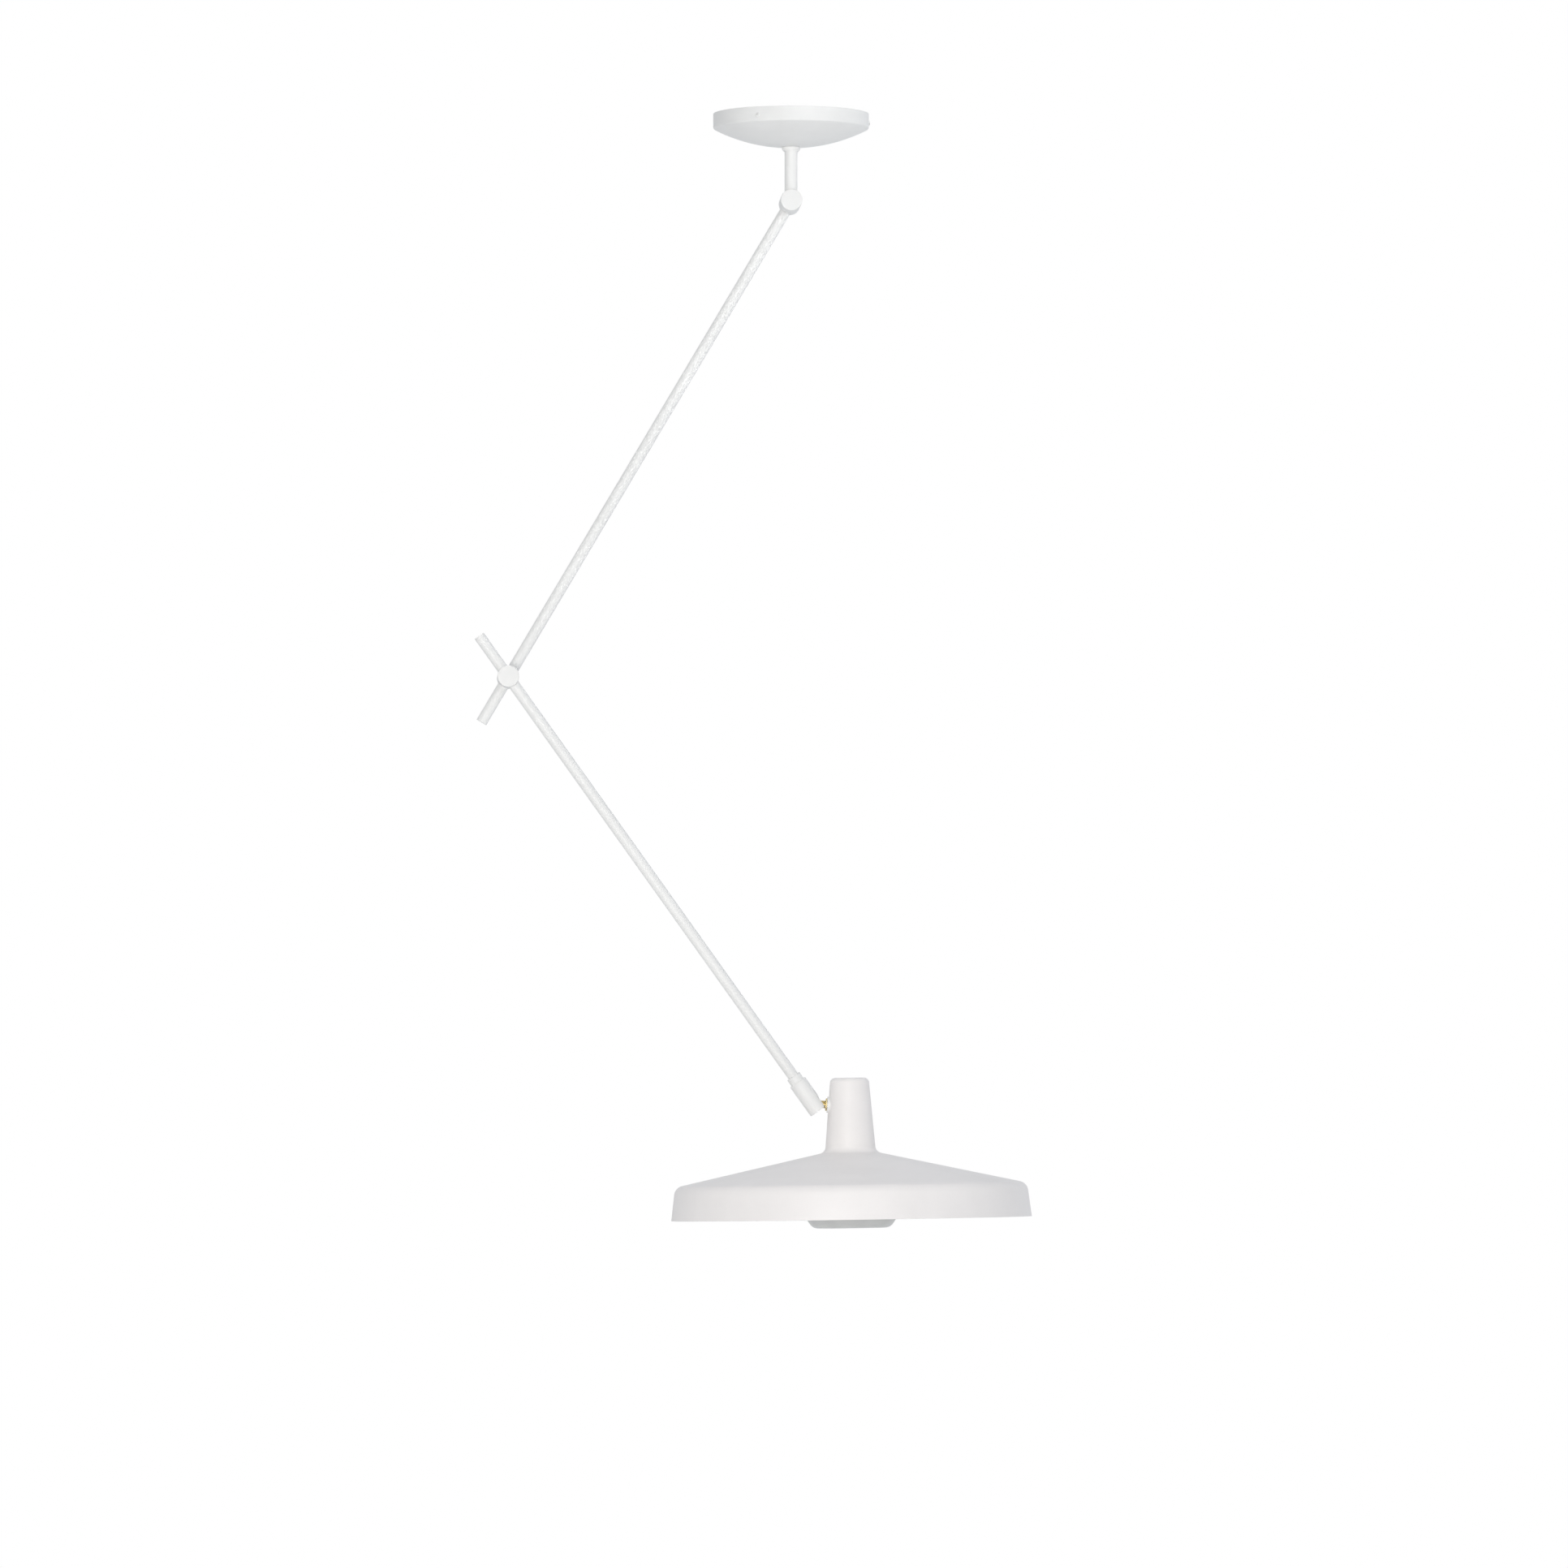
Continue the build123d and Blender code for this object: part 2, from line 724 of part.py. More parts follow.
def make_arm_end_collar():
    start = housing_start + gland_thread_depth + face_gap
    with BuildPart() as collar:
        tube(
            lower_arm_frame, arm_end_collar_radius, tube_radius,
            start, start + arm_end_collar_length,
        )
    save(collar.part, "arm_end_collar")


def make_ball_housing():
    """Turned sleeve with a spherical seat at its end. The slot lets the stud swing from
    straight down the arm to square across it."""
    chamber_start = ball_place - 3.5
    with BuildPart() as housing:
        rod(lower_arm_frame, housing_radius, housing_start, housing_end)
        for end in (0, -1):
            chamfer(housing.edges().group_by(axis_of(lower_arm_frame))[end], edge_chamfer)
        rod(lower_arm_frame, housing_bore, housing_start, chamber_start, mode=Mode.SUBTRACT)
        rod(
            lower_arm_frame, ball_radius + ball_play, chamber_start - 1, ball_place,
            mode=Mode.SUBTRACT,
        )
        with Locations(ball):
            Sphere(ball_radius + ball_play, mode=Mode.SUBTRACT)
        rod(lower_arm_frame, slot_half_width, ball_place, housing_end + 1, mode=Mode.SUBTRACT)
        block(
            lower_arm_frame, 2 * slot_half_width, 2 * housing_radius, ball_place, housing_end + 1,
            y=housing_radius, mode=Mode.SUBTRACT,
        )
        side = radial_frame(lower_arm_frame, 90, ball_place)
        rod(side, slot_half_width, 0, 2 * housing_radius, mode=Mode.SUBTRACT)
    save(housing.part, "ball_housing")


def make_ball_seat():
    """Cup that presses on the back of the ball."""
    with BuildPart() as seat:
        tube(
            lower_arm_frame, housing_bore - running_gap, ball_seat_bore,
            ball_seat_start, ball_place - 5.0,
        )
        with Locations(ball):
            Sphere(ball_radius + ball_play / 2, mode=Mode.SUBTRACT)
    save(seat.part, "ball_seat")


def make_ball_disc_springs():
    """Four coned washers, stacked in pairs, between the snap ring and the seat."""
    with BuildPart() as springs:
        for step in range(disc_spring_count):
            low = disc_spring_start + step * disc_spring_pitch
            outer = low + (0 if step % 2 else disc_spring_lift)
            inner = low + (disc_spring_lift if step % 2 else 0)
            turn(lower_arm_frame, [
                (disc_spring_bore, inner),
                (disc_spring_radius, outer),
                (disc_spring_radius, outer + disc_spring_sheet),
                (disc_spring_bore, inner + disc_spring_sheet),
            ])
    save(springs.part, "ball_disc_springs")


def make_housing_snap_ring():
    with BuildPart() as ring:
        end = snap_ring_start + snap_ring_sheet
        tube(lower_arm_frame, housing_bore, snap_ring_bore, snap_ring_start, end)
        block(
            lower_arm_frame, snap_ring_gap, 2 * housing_bore, snap_ring_start - 1, end + 1,
            y=-housing_bore, mode=Mode.SUBTRACT,
        )
    save(ring.part, "housing_snap_ring")


def make_ball_stud():
    """Brass ball with a hollow threaded stud. The wires leave it through the flared hole
    at the back of the ball."""
    with BuildPart() as stud:
        with Locations(ball):
            Sphere(ball_radius)
        rod(stud_frame, stud_radius, 0, stud_length)
        rod(stud_frame, stud_bore, 0, stud_length + 1, mode=Mode.SUBTRACT)
        turn(Plane(origin=ball, x_dir=(0, 1, 0), z_dir=-lower_arm_way), [
            (0, -stud_bore),
            (stud_bore, -stud_bore),
            (stud_bore, 0),
            (4.4, ball_radius + 1),
            (0, ball_radius + 1),
        ], mode=Mode.SUBTRACT)
    save(stud.part, "ball_stud")


def make_stud_nuts():
    """A thin nut outside the tower and a thicker one inside hold the washers to its wall."""
    outer_top = stud_reach - saddle_thickness - face_gap
    inner_foot = stud_reach + inner_saddle_reach + bracket_strip + face_gap
    with BuildPart() as nuts:
        hexagon(stud_frame, stud_nut_flats, outer_top - stud_nut_thickness, outer_top)
        hexagon(stud_frame, inner_nut_flats, inner_foot, inner_foot + inner_nut_height)
        rod(stud_frame, stud_radius, 0, stud_length, mode=Mode.SUBTRACT)
    save(nuts.part, "stud_nuts")


def make_saddle_washers(tower_outside, tower_inside):
    """Washers with one flat face and one face shaped to the tower's wall."""
    with BuildPart() as outer:
        rod(stud_frame, saddle_radius, stud_reach - saddle_thickness, stud_reach + 5)
        add(tower_outside, mode=Mode.SUBTRACT)
        rod(stud_frame, stud_radius + running_gap, 0, stud_length, mode=Mode.SUBTRACT)
    save(outer.part, "tower_outer_washer")

    with BuildPart() as inner:
        rod(stud_frame, inner_saddle_radius, stud_reach, stud_reach + inner_saddle_reach)
        add(tower_inside, mode=Mode.INTERSECT)
        rod(stud_frame, stud_radius + running_gap, 0, stud_length, mode=Mode.SUBTRACT)
    save(inner.part, "tower_inner_washer")


# ---- shade ----

def parallel_meeting(points, distance):
    """Corners of an open polyline moved sideways by a distance, to its right."""
    shifted = []
    for (x1, y1), (x2, y2) in zip(points, points[1:]):
        length = math.hypot(x2 - x1, y2 - y1)
        nx, ny = (y2 - y1) / length, -(x2 - x1) / length
        shifted.append(((x1 + nx * distance, y1 + ny * distance), (x2 - x1, y2 - y1)))
    corners = []
    for ((px, py), (dx, dy)), ((qx, qy), (ex, ey)) in zip(shifted, shifted[1:]):
        cross = dx * ey - dy * ex
        along = ((qx - px) * ey - (qy - py) * ex) / cross
        corners.append((px + dx * along, py + dy * along))
    return corners


def shade_solid(sheet):
    """The shade filled in, smaller all round by the sheet's thickness."""
    outline = [
        (-10.0, shade_height),
        (tower_top_radius, shade_height),
        (tower_foot_radius, tower_foot_height),
        (rim_top_radius, rim_height),
        (shade_radius, 0.0),
    ]
    top, foot, rim_top = parallel_meeting(outline, sheet)
    slope = (shade_radius - rim_top_radius) / rim_height
    edge = rim_top[0] + slope * rim_top[1]
    with BuildPart() as solid:
        with BuildSketch(side_of(shade_frame)) as profile:
            with BuildLine():
                Polyline((0, 0), (0, top[1]), top, foot, rim_top, (edge, 0), close=True)
            make_face()
            for corner, radius in (
                (top, tower_corner - sheet),
                (foot, tower_foot_corner + sheet),
                (rim_top, rim_corner - sheet),
            ):
                near = profile.vertices().sort_by_distance(profile_point(corner))[0]
                fillet(near, radius)
        revolve(profile.sketch, axis=axis_of(shade_frame))
    return solid.part


def profile_point(corner):
    """Where a sketch vertex lies while its sketch is being drawn."""
    return (corner[0], corner[1], 0)


def make_shade_shell(tower_outside, tower_inside):
    with BuildPart() as shell:
        add(tower_outside)
        add(tower_inside, mode=Mode.SUBTRACT)
        rod(stud_frame, stud_radius + running_gap, stud_reach - 5, stud_reach + 8, mode=Mode.SUBTRACT)
    save(shell.part, "shade_shell")


# ---- lampholder, bulb and diffuser ----

def make_lampholder_bracket():
    """Strip clamped on the stud, with a foot across the tower that the lampholder hangs from."""
    leg_low = stud_reach + inner_saddle_reach
    strip_width = 16.0
    with BuildPart() as bracket:
        block(stud_frame, strip_width, 24.0, leg_low, leg_low + bracket_strip, y=-3.0)
        block(shade_frame, 36.6, strip_width, holder_top, holder_top + bracket_strip, x=-6.3)
        rod(stud_frame, stud_radius + running_gap, leg_low - 1, leg_low + 3, mode=Mode.SUBTRACT)
        rod(shade_frame, nipple_radius, holder_top - 1, holder_top + 3, mode=Mode.SUBTRACT)
    save(bracket.part, "lampholder_bracket")


def make_lampholder_nipple():
    with BuildPart() as nipple:
        tube(shade_frame, nipple_radius, lamp_nipple_bore, holder_top - 7, holder_top + 6)
    save(nipple.part, "lampholder_nipple")


def make_lampholder_nut():
    with BuildPart() as nut:
        foot = holder_top + bracket_strip
        hexagon(shade_frame, inner_nut_flats, foot, foot + 3.0)
        rod(shade_frame, nipple_radius, foot - 1, foot + 4, mode=Mode.SUBTRACT)
    save(nut.part, "lampholder_nut")


def make_lampholder_body():
    with BuildPart() as body:
        turn(shade_frame, [
            (nipple_radius, holder_top),
            (holder_neck_radius, holder_top),
            (holder_neck_radius, holder_skirt_top),
            (holder_radius, holder_skirt_top),
            (holder_radius, holder_bottom),
            (lamp_thread_radius, holder_bottom),
            (lamp_thread_radius, holder_skirt_top),
            (contact_well, holder_skirt_top + 1.0),
            (contact_well, holder_top - holder_floor),
            (nipple_radius, holder_top - holder_floor),
        ])
    save(body.part, "lampholder_body")


def make_lampholder_sleeve():
    with BuildPart() as sleeve:
        tube(
            shade_frame, lamp_thread_radius, lamp_thread_bore, holder_bottom + 3, holder_skirt_top
        )
    save(sleeve.part, "lampholder_sleeve")


def make_lampholder_contact():
    """Springy centre contact, bent down from the floor of the lampholder."""
    floor = holder_top - holder_floor
    tip = floor - contact_drop
    width = 5.0
    with BuildPart() as contact:
        block(shade_frame, 11.0, 16.0, floor - contact_sheet, floor)
        block(shade_frame, width, contact_sheet, tip, floor, y=7.5)
        block(shade_frame, width, 12.0, tip, tip + contact_sheet, y=2.0)
        rod(shade_frame, nipple_bore, floor - 2, floor + 1, mode=Mode.SUBTRACT)
    save(contact.part, "lampholder_contact")


def make_lampholder_rings():
    """Two threaded rings that clamp the diffuser's spider on the lampholder's skirt."""
    with BuildPart() as rings:
        for foot in (
            spider_height + spider_ring_half,
            spider_height - spider_ring_half - holder_ring_height,
        ):
            tube(shade_frame, holder_ring_radius, holder_radius, foot, foot + holder_ring_height)
    save(rings.part, "lampholder_rings")


def make_bulb_cap():
    with BuildPart() as cap:
        turn(shade_frame, [
            (0, bulb_neck_height),
            (bulb_cap_radius, bulb_neck_height),
            (bulb_cap_radius, holder_skirt_top - 1),
            (6.0, holder_skirt_top + 1),
            (4.5, holder_skirt_top + 3.4),
            (0, holder_skirt_top + 3.4),
        ])
    save(cap.part, "bulb_cap")


def make_bulb_globe():
    """Pear-shaped opal globe, closed against the bulb's cap."""
    start = math.radians(25)
    with BuildPart() as globe:
        for shrink, mode in ((0.0, Mode.ADD), (bulb_wall, Mode.SUBTRACT)):
            radius = bulb_radius - shrink
            cheek = radius * math.cos(start)
            rise = radius * math.sin(start)
            neck_height = bulb_neck_height - 1.5 * shrink
            bottom = (0, bulb_centre - radius)
            tangent_point = (cheek, bulb_centre + rise)
            neck = (bulb_cap_radius - shrink, neck_height)
            with BuildSketch(side_of(shade_frame), mode=Mode.PRIVATE) as profile:
                with BuildLine():
                    ThreePointArc(bottom, (cheek, bulb_centre - rise), tangent_point)
                    Spline(
                        tangent_point, neck,
                        tangents=((-math.sin(start), math.cos(start)), (0, 1)),
                    )
                    Polyline(neck, (0, neck_height), bottom)
                make_face()
            revolve(profile.sketch, axis=axis_of(shade_frame), mode=mode)
    save(globe.part, "bulb_globe")


def diffuser_solid(shrink):
    """The diffuser's dish filled in, smaller all round by the wall's thickness."""
    slope = math.radians(diffuser_slope)
    wall_height = (diffuser_radius - diffuser_corner_radius) * math.tan(slope) - diffuser_drop
    outline = [
        (-10.0, -diffuser_drop),
        (diffuser_corner_radius, -diffuser_drop),
        (diffuser_radius, wall_height),
        (diffuser_radius, diffuser_top),
    ]
    corner, wall_foot = parallel_meeting(outline, -shrink)
    radius = diffuser_radius - shrink
    with BuildPart() as solid:
        with BuildSketch(side_of(shade_frame)) as profile:
            with BuildLine():
                Polyline(
                    (0, corner[1]), corner, wall_foot, (radius, diffuser_top), (0, diffuser_top),
                    close=True,
                )
            make_face()
            for point, bend in (
                (corner, diffuser_corner - shrink),
                (wall_foot, diffuser_wall_corner - shrink),
            ):
                near = profile.vertices().sort_by_distance(profile_point(point))[0]
                fillet(near, bend)
        revolve(profile.sketch, axis=axis_of(shade_frame))
    return solid.part


def spider_headings():
    return [90 + 360 / spider_legs * leg for leg in range(spider_legs)]


def drill_for_thumbscrew(heading):
    side = radial_frame(shade_frame, heading, diffuser_top - thumbscrew_drop)
    rod(side, thumbscrew_hole, diffuser_radius - 5, diffuser_radius + 5, mode=Mode.SUBTRACT)


def make_diffuser(dish, hollow):
    with BuildPart() as diffuser:
        add(dish)
        add(hollow, mode=Mode.SUBTRACT)
        for heading in spider_headings():
            drill_for_thumbscrew(heading)
    save(diffuser.part, "diffuser")


def make_diffuser_spider():
    """Ring under the lampholder's skirt with three straps down to the diffuser's wall."""
    inner_radius = spider_ring_radius - strap / 2
    path = [
        (inner_radius, spider_height + spider_ring_half),
        (inner_radius, strap_knee),
        (strap_radius, strap_knee - 36),
        (strap_radius, diffuser_top - 10),
    ]

    def edge(shift):
        top = (path[0][0] + shift, path[0][1])
        end = (path[-1][0] + shift, path[-1][1])
        return [top, *parallel_meeting(path, -shift), end]

    inner_edge = edge(-strap / 2)
    outer_edge = edge(strap / 2)
    with BuildPart() as spider:
        tube(
            shade_frame, spider_ring_radius, holder_radius,
            spider_height - spider_ring_half, spider_height + spider_ring_half,
        )
        for heading in spider_headings():
            side = side_of(along_frame(shade_frame, heading))
            with BuildSketch(side, mode=Mode.PRIVATE) as profile:
                with BuildLine():
                    Polyline(*inner_edge, *reversed(outer_edge), close=True)
                make_face()
            extrude(profile.sketch, amount=strap_half_width, both=True)
            drill_for_thumbscrew(heading)
    save(spider.part, "diffuser_spider")


def make_diffuser_screws():
    """Knurled thumbscrews through the straps into the diffuser's wall."""
    seat = strap_radius + strap / 2
    with BuildPart() as screws:
        for heading in spider_headings():
            side = radial_frame(shade_frame, heading, diffuser_top - thumbscrew_drop)
            rod(side, thumbscrew_shank, diffuser_radius - 2 * thumbscrew_shank - 1, seat + 1)
            rod(side, thumbscrew_head, seat, seat + thumbscrew_head)
    save(screws.part, "diffuser_screws")


# ---- build ----

def main():
    os.makedirs("parts", exist_ok=True)

    make_ceiling_bracket()
    make_canopy_cover()
    make_canopy_side_screws()
    make_canopy_nipple()
    make_nipple_lock_nuts()
    make_terminal_block()
    make_earth_screw()

    make_stem_collar()
    make_upper_stem()
    make_swivel_stop_pin()
    make_lower_stem()
    make_swivel_washer()
    make_swivel_nut()

    upwards = Plane(origin=shoulder, x_dir=(0, 1, 0), z_dir=(0, 0, 1))
    make_front_drum("shoulder_front_drum", shoulder_frame, shoulder_range, upwards, stem_radius, 0)
    make_rear_drum("shoulder_rear_drum", shoulder_frame, upper_arm_frame, 0)
    make_hinge_hardware("shoulder", shoulder_frame)
    # the elbow's front drum is the one that moves, so its pin travels the other way
    pin_travel = (-elbow_range[1], -elbow_range[0])
    through = 2 * drum_radius
    make_front_drum(
        "elbow_front_drum", elbow_frame, pin_travel, lower_arm_frame, tube_radius, through,
        grub_heading=-90,
    )
    make_rear_drum(
        "elbow_rear_drum", elbow_frame, elbow_upper_arm_frame, through, grub_heading=90
    )
    make_hinge_hardware("elbow", elbow_frame)

    upper_end = upper_arm_length + upper_arm_tail - plug_thickness
    make_arm_tube(
        "upper_arm_tube", upper_arm_frame, arm_in_drum, upper_end, upper_arm_length, 180
    )
    make_tail_plug("upper_arm_plug", upper_arm_frame.offset(upper_arm_length + upper_arm_tail))
    lower_start = plug_thickness - lower_arm_tail
    make_arm_tube("lower_arm_tube", lower_arm_frame, lower_start, lower_arm_end, 0, 0)
    make_tail_plug("lower_arm_plug", lower_arm_back_frame.offset(lower_arm_tail))
    make_grub_screw("elbow_front_grub_screw", lower_arm_frame, -90)
    make_grub_screw("elbow_rear_grub_screw", elbow_upper_arm_frame, 90)

    make_ferrule()
    make_arm_end_collar()
    make_ball_housing()
    make_housing_snap_ring()
    make_ball_disc_springs()
    make_ball_seat()
    make_ball_stud()
    make_stud_nuts()

    tower_outside = shade_solid(0.0)
    tower_inside = shade_solid(shade_sheet)
    make_saddle_washers(tower_outside, tower_inside)
    make_shade_shell(tower_outside, tower_inside)

    make_lampholder_bracket()
    make_lampholder_nipple()
    make_lampholder_nut()
    make_lampholder_body()
    make_lampholder_sleeve()
    make_lampholder_contact()
    make_lampholder_rings()
    make_bulb_cap()
    make_bulb_globe()
    make_diffuser(diffuser_solid(0.0), diffuser_solid(diffuser_wall))
    make_diffuser_spider()
    make_diffuser_screws()


main()
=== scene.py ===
import json
import math

import bmesh
import bpy
from mathutils import Matrix, Vector


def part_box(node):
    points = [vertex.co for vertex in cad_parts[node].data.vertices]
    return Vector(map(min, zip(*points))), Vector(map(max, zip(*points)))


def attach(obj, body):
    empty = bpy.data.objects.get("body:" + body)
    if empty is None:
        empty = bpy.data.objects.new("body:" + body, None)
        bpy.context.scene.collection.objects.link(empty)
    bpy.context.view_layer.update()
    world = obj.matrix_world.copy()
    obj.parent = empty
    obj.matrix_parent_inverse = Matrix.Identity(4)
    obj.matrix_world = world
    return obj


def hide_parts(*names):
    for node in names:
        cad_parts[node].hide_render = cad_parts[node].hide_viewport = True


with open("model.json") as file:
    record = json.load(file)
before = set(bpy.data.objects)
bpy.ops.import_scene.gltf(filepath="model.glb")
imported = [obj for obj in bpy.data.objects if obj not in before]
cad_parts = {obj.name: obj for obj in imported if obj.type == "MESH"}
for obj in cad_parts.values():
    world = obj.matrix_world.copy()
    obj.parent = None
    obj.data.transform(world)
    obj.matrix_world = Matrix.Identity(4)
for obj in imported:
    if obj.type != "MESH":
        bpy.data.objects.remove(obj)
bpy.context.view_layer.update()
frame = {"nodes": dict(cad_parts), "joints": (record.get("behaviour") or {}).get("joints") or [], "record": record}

# A white ceiling lamp: canopy, stem, two hinged arms, and a spun shade on a brass ball swivel.
# Metres, +Z up, the front is -Y. The pieces made here replace plain CAD solids where the real
# ones have rolled edges, threads, knurls and recesses.

MM = 0.001
SAME_PLACE = 1e-7  # points nearer than this are one point


# ---- places, from the frame ----

joints = {joint["name"]: joint for joint in frame["joints"]}
slot_of_node = {part["node"]: part["material_slot"] for part in frame["record"]["subparts"]}

ball_centre = Vector(joints["ball_tilt"]["pos_m"])
stud_way = Vector(joints["shade_roll"]["axis"])


def axes(origin, z_axis, x_axis=(0, 1, 0)):
    """Matrix that puts a piece drawn about +Z onto an axis of the lamp."""
    z = Vector(z_axis).normalized()
    x = (Vector(x_axis) - z * z.dot(Vector(x_axis))).normalized()
    turned = Matrix((x, z.cross(x), z)).transposed().to_4x4()
    return Matrix.Translation(Vector(origin)) @ turned


# the spun shade, by height above its rim
SHADE_RADIUS = 225.0 * MM
SHADE_HEIGHT = 175.7 * MM
SHADE_SHEET = 1.2 * MM
SHADE_EDGE = 0.5 * MM
RIM_HEIGHT = 41.8 * MM
RIM_TOP_RADIUS = 219.8 * MM
RIM_CORNER = 13.0 * MM
TOWER_FOOT_HEIGHT = 83.0 * MM
TOWER_FOOT_RADIUS = 31.64 * MM
TOWER_FOOT_CORNER = 9.5 * MM
TOWER_TOP_RADIUS = 24.0 * MM
TOWER_CORNER = 6.5 * MM
STUD_HEIGHT = 142.5 * MM
STUD_REACH = 19.4 * MM
SHADE_TILT = math.radians(0.85)

TOWER_TAPER = (TOWER_FOOT_RADIUS - TOWER_TOP_RADIUS) / (SHADE_HEIGHT - TOWER_FOOT_HEIGHT)
shade_across = Vector((math.cos(SHADE_TILT), 0, math.sin(SHADE_TILT)))
shade_up = Vector((-math.sin(SHADE_TILT), 0, math.cos(SHADE_TILT)))
tower_radius_at_stud = TOWER_TOP_RADIUS + (SHADE_HEIGHT - STUD_HEIGHT) * TOWER_TAPER
rim_centre = (
    ball_centre + stud_way * STUD_REACH
    + shade_across * tower_radius_at_stud - shade_up * STUD_HEIGHT
)

# the opal diffuser, by height above the shade's rim
DIFFUSER_DROP = 11.6 * MM
DIFFUSER_CORNER_RADIUS = 48.4 * MM
DIFFUSER_SLOPE = math.radians(56.0)
DIFFUSER_CORNER = 12.5 * MM
DIFFUSER_WALL_CORNER = 8.0 * MM
DIFFUSER_RADIUS = 64.0 * MM
DIFFUSER_TOP = 28.0 * MM
DIFFUSER_WALL = 2.5 * MM
DIFFUSER_EDGE = 0.9 * MM

# its three thumbscrews
THUMBSCREW_HEIGHT = 22.0 * MM
THUMBSCREW_SEAT = 65.5 * MM
THUMBSCREW_HEAD = 4.0 * MM
THUMBSCREW_SHANK = 1.5 * MM
THUMBSCREW_INNER = 60.0 * MM
THUMBSCREW_HEADING = math.radians(90)
THUMBSCREW_DISH = 0.6 * MM
KNURL_RIDGES = 36
KNURL_DEPTH = 0.25 * MM
KNURL_RIDGE = 0.24 * MM

# the canopy and its three side screws
CANOPY_RADIUS = 97.5 * MM
CANOPY_DEPTH = 41.6 * MM
CANOPY_DOME = 213.0 * MM
CANOPY_CORNER = 2.5 * MM
CANOPY_SHEET = 1.2 * MM
CANOPY_HOLE = 5.6 * MM
DOME_STEPS = 24
SIDE_SCREW_HEIGHT = -10.5 * MM
SIDE_SCREW_HEADING = math.radians(242.3)
SIDE_SCREW_HEAD = 2.9 * MM
SIDE_SCREW_RISE = 1.9 * MM
SIDE_SCREW_SHANK = 1.95 * MM
SIDE_SCREW_INNER = 88.6 * MM
RECESS_DEPTH = 1.5 * MM
RECESS_SHOULDER = 1.3 * MM
RECESS_FOOT_RADIUS = 0.9 * MM
RECESS_MOUTH_RADIUS = 2.0 * MM
RECESS_FLATNESS = 0.26

# hinge caps
CAP_RADIUS = 13.5 * MM
CAP_EDGE = 0.8 * MM
CAP_THICKNESS = 2.0 * MM
CAP_LIP_RADIUS = 10.5 * MM
CAP_LIP_WALL = 1.5 * MM
CAP_LIP_DEPTH = 2.5 * MM

# brass ball stud and its nuts, by distance from the ball's centre
BALL_RADIUS = 8.0 * MM
BALL_MOUTH = 4.4 * MM
BALL_STEPS = 32
STUD_RADIUS = 5.0 * MM
STUD_BORE = 2.8 * MM
STUD_LENGTH = 30.0 * MM
STUD_NECK_END = 10.0 * MM
THREAD_PITCH = 1.0 * MM
THREAD_DEPTH = 0.45 * MM
THREAD_RIDGE = 0.48 * THREAD_PITCH
# each nut: its two ends and its width across flats
OUTER_NUT = (15.6 * MM, 17.6 * MM, 13.5 * MM)
INNER_NUT = (24.15 * MM, 27.65 * MM, 13.0 * MM)
NUT_CHAMFER = 0.45 * MM
NUT_FACE_INSET = 0.1 * MM

# threaded tubes: the canopy's by height from the ceiling, the lampholder's from the shade's rim
NIPPLE_RADIUS = 5.0 * MM
NIPPLE_BORE = 3.5 * MM
CANOPY_NIPPLE = (-76.5 * MM, -22.0 * MM)
LAMP_NIPPLE = (120.5 * MM, 133.5 * MM)

# the stem hangs on the Z axis itself
stem_place = Matrix.Identity(4)
shade_place = axes(rim_centre, shade_up, shade_across)
stud_place = axes(ball_centre, stud_way)


# ---- materials ----

def linear(code):
    """sRGB hex colour as the linear values that a shader takes."""
    values = [int(code[i:i + 2], 16) / 255 for i in (0, 2, 4)]
    return [v / 12.92 if v <= 0.04045 else ((v + 0.055) / 1.055) ** 2.4 for v in values] + [1.0]


def add(tree, kind, inputs=None, **settings):
    """Adds a node: settings are its properties, inputs are sockets to link or plain values."""
    node = tree.nodes.new(kind)
    for name, value in settings.items():
        setattr(node, name, value)
    for name, value in (inputs or {}).items():
        if isinstance(value, bpy.types.NodeSocket):
            tree.links.new(value, node.inputs[name])
        else:
            node.inputs[name].default_value = value
    return node


def new_material(name):
    material = bpy.data.materials.new(name)
    material.use_nodes = True
    material.node_tree.nodes.clear()
    return material, material.node_tree


def worn_edges(tree, width, start, end):
    """Mask of the sharp edges, broken up so that no edge is worn evenly along its length."""
    coords = add(tree, "ShaderNodeTexCoord").outputs["Object"]
    face = add(tree, "ShaderNodeNewGeometry").outputs["Normal"]
    eased = add(tree, "ShaderNodeBevel", {"Radius": width}, samples=4).outputs["Normal"]
    same = add(tree, "ShaderNodeVectorMath", {0: face, 1: eased}, operation="DOT_PRODUCT")
    edge = add(tree, "ShaderNodeMapRange", {
        "Value": same.outputs["Value"], "From Min": start, "From Max": end,
    })
    patches = add(tree, "ShaderNodeTexNoise", {
        "Vector": coords, "Scale": 1 / (7 * MM), "Detail": 5.0, "Roughness": 0.7,
    })
    broken = add(tree, "ShaderNodeMapRange", {
        "Value": patches.outputs["Fac"], "From Min": 0.4, "From Max": 0.62,
    })
    worn = add(tree, "ShaderNodeMath", {
        0: edge.outputs["Result"], 1: broken.outputs["Result"],
    }, operation="MULTIPLY")
    return worn.outputs["Value"]


def two_tone(tree, pattern, light, dark):
    """Colour that drifts with a pattern between two close tones."""
    blend = add(tree, "ShaderNodeMapRange", {
        "Value": pattern.outputs["Fac"], "From Min": 0.35, "From Max": 0.65,
    })
    tint = add(tree, "ShaderNodeMix", {
        "Factor": blend.outputs["Result"], "A": linear(dark), "B": linear(light),
    }, data_type="RGBA")
    return tint.outputs["Result"]


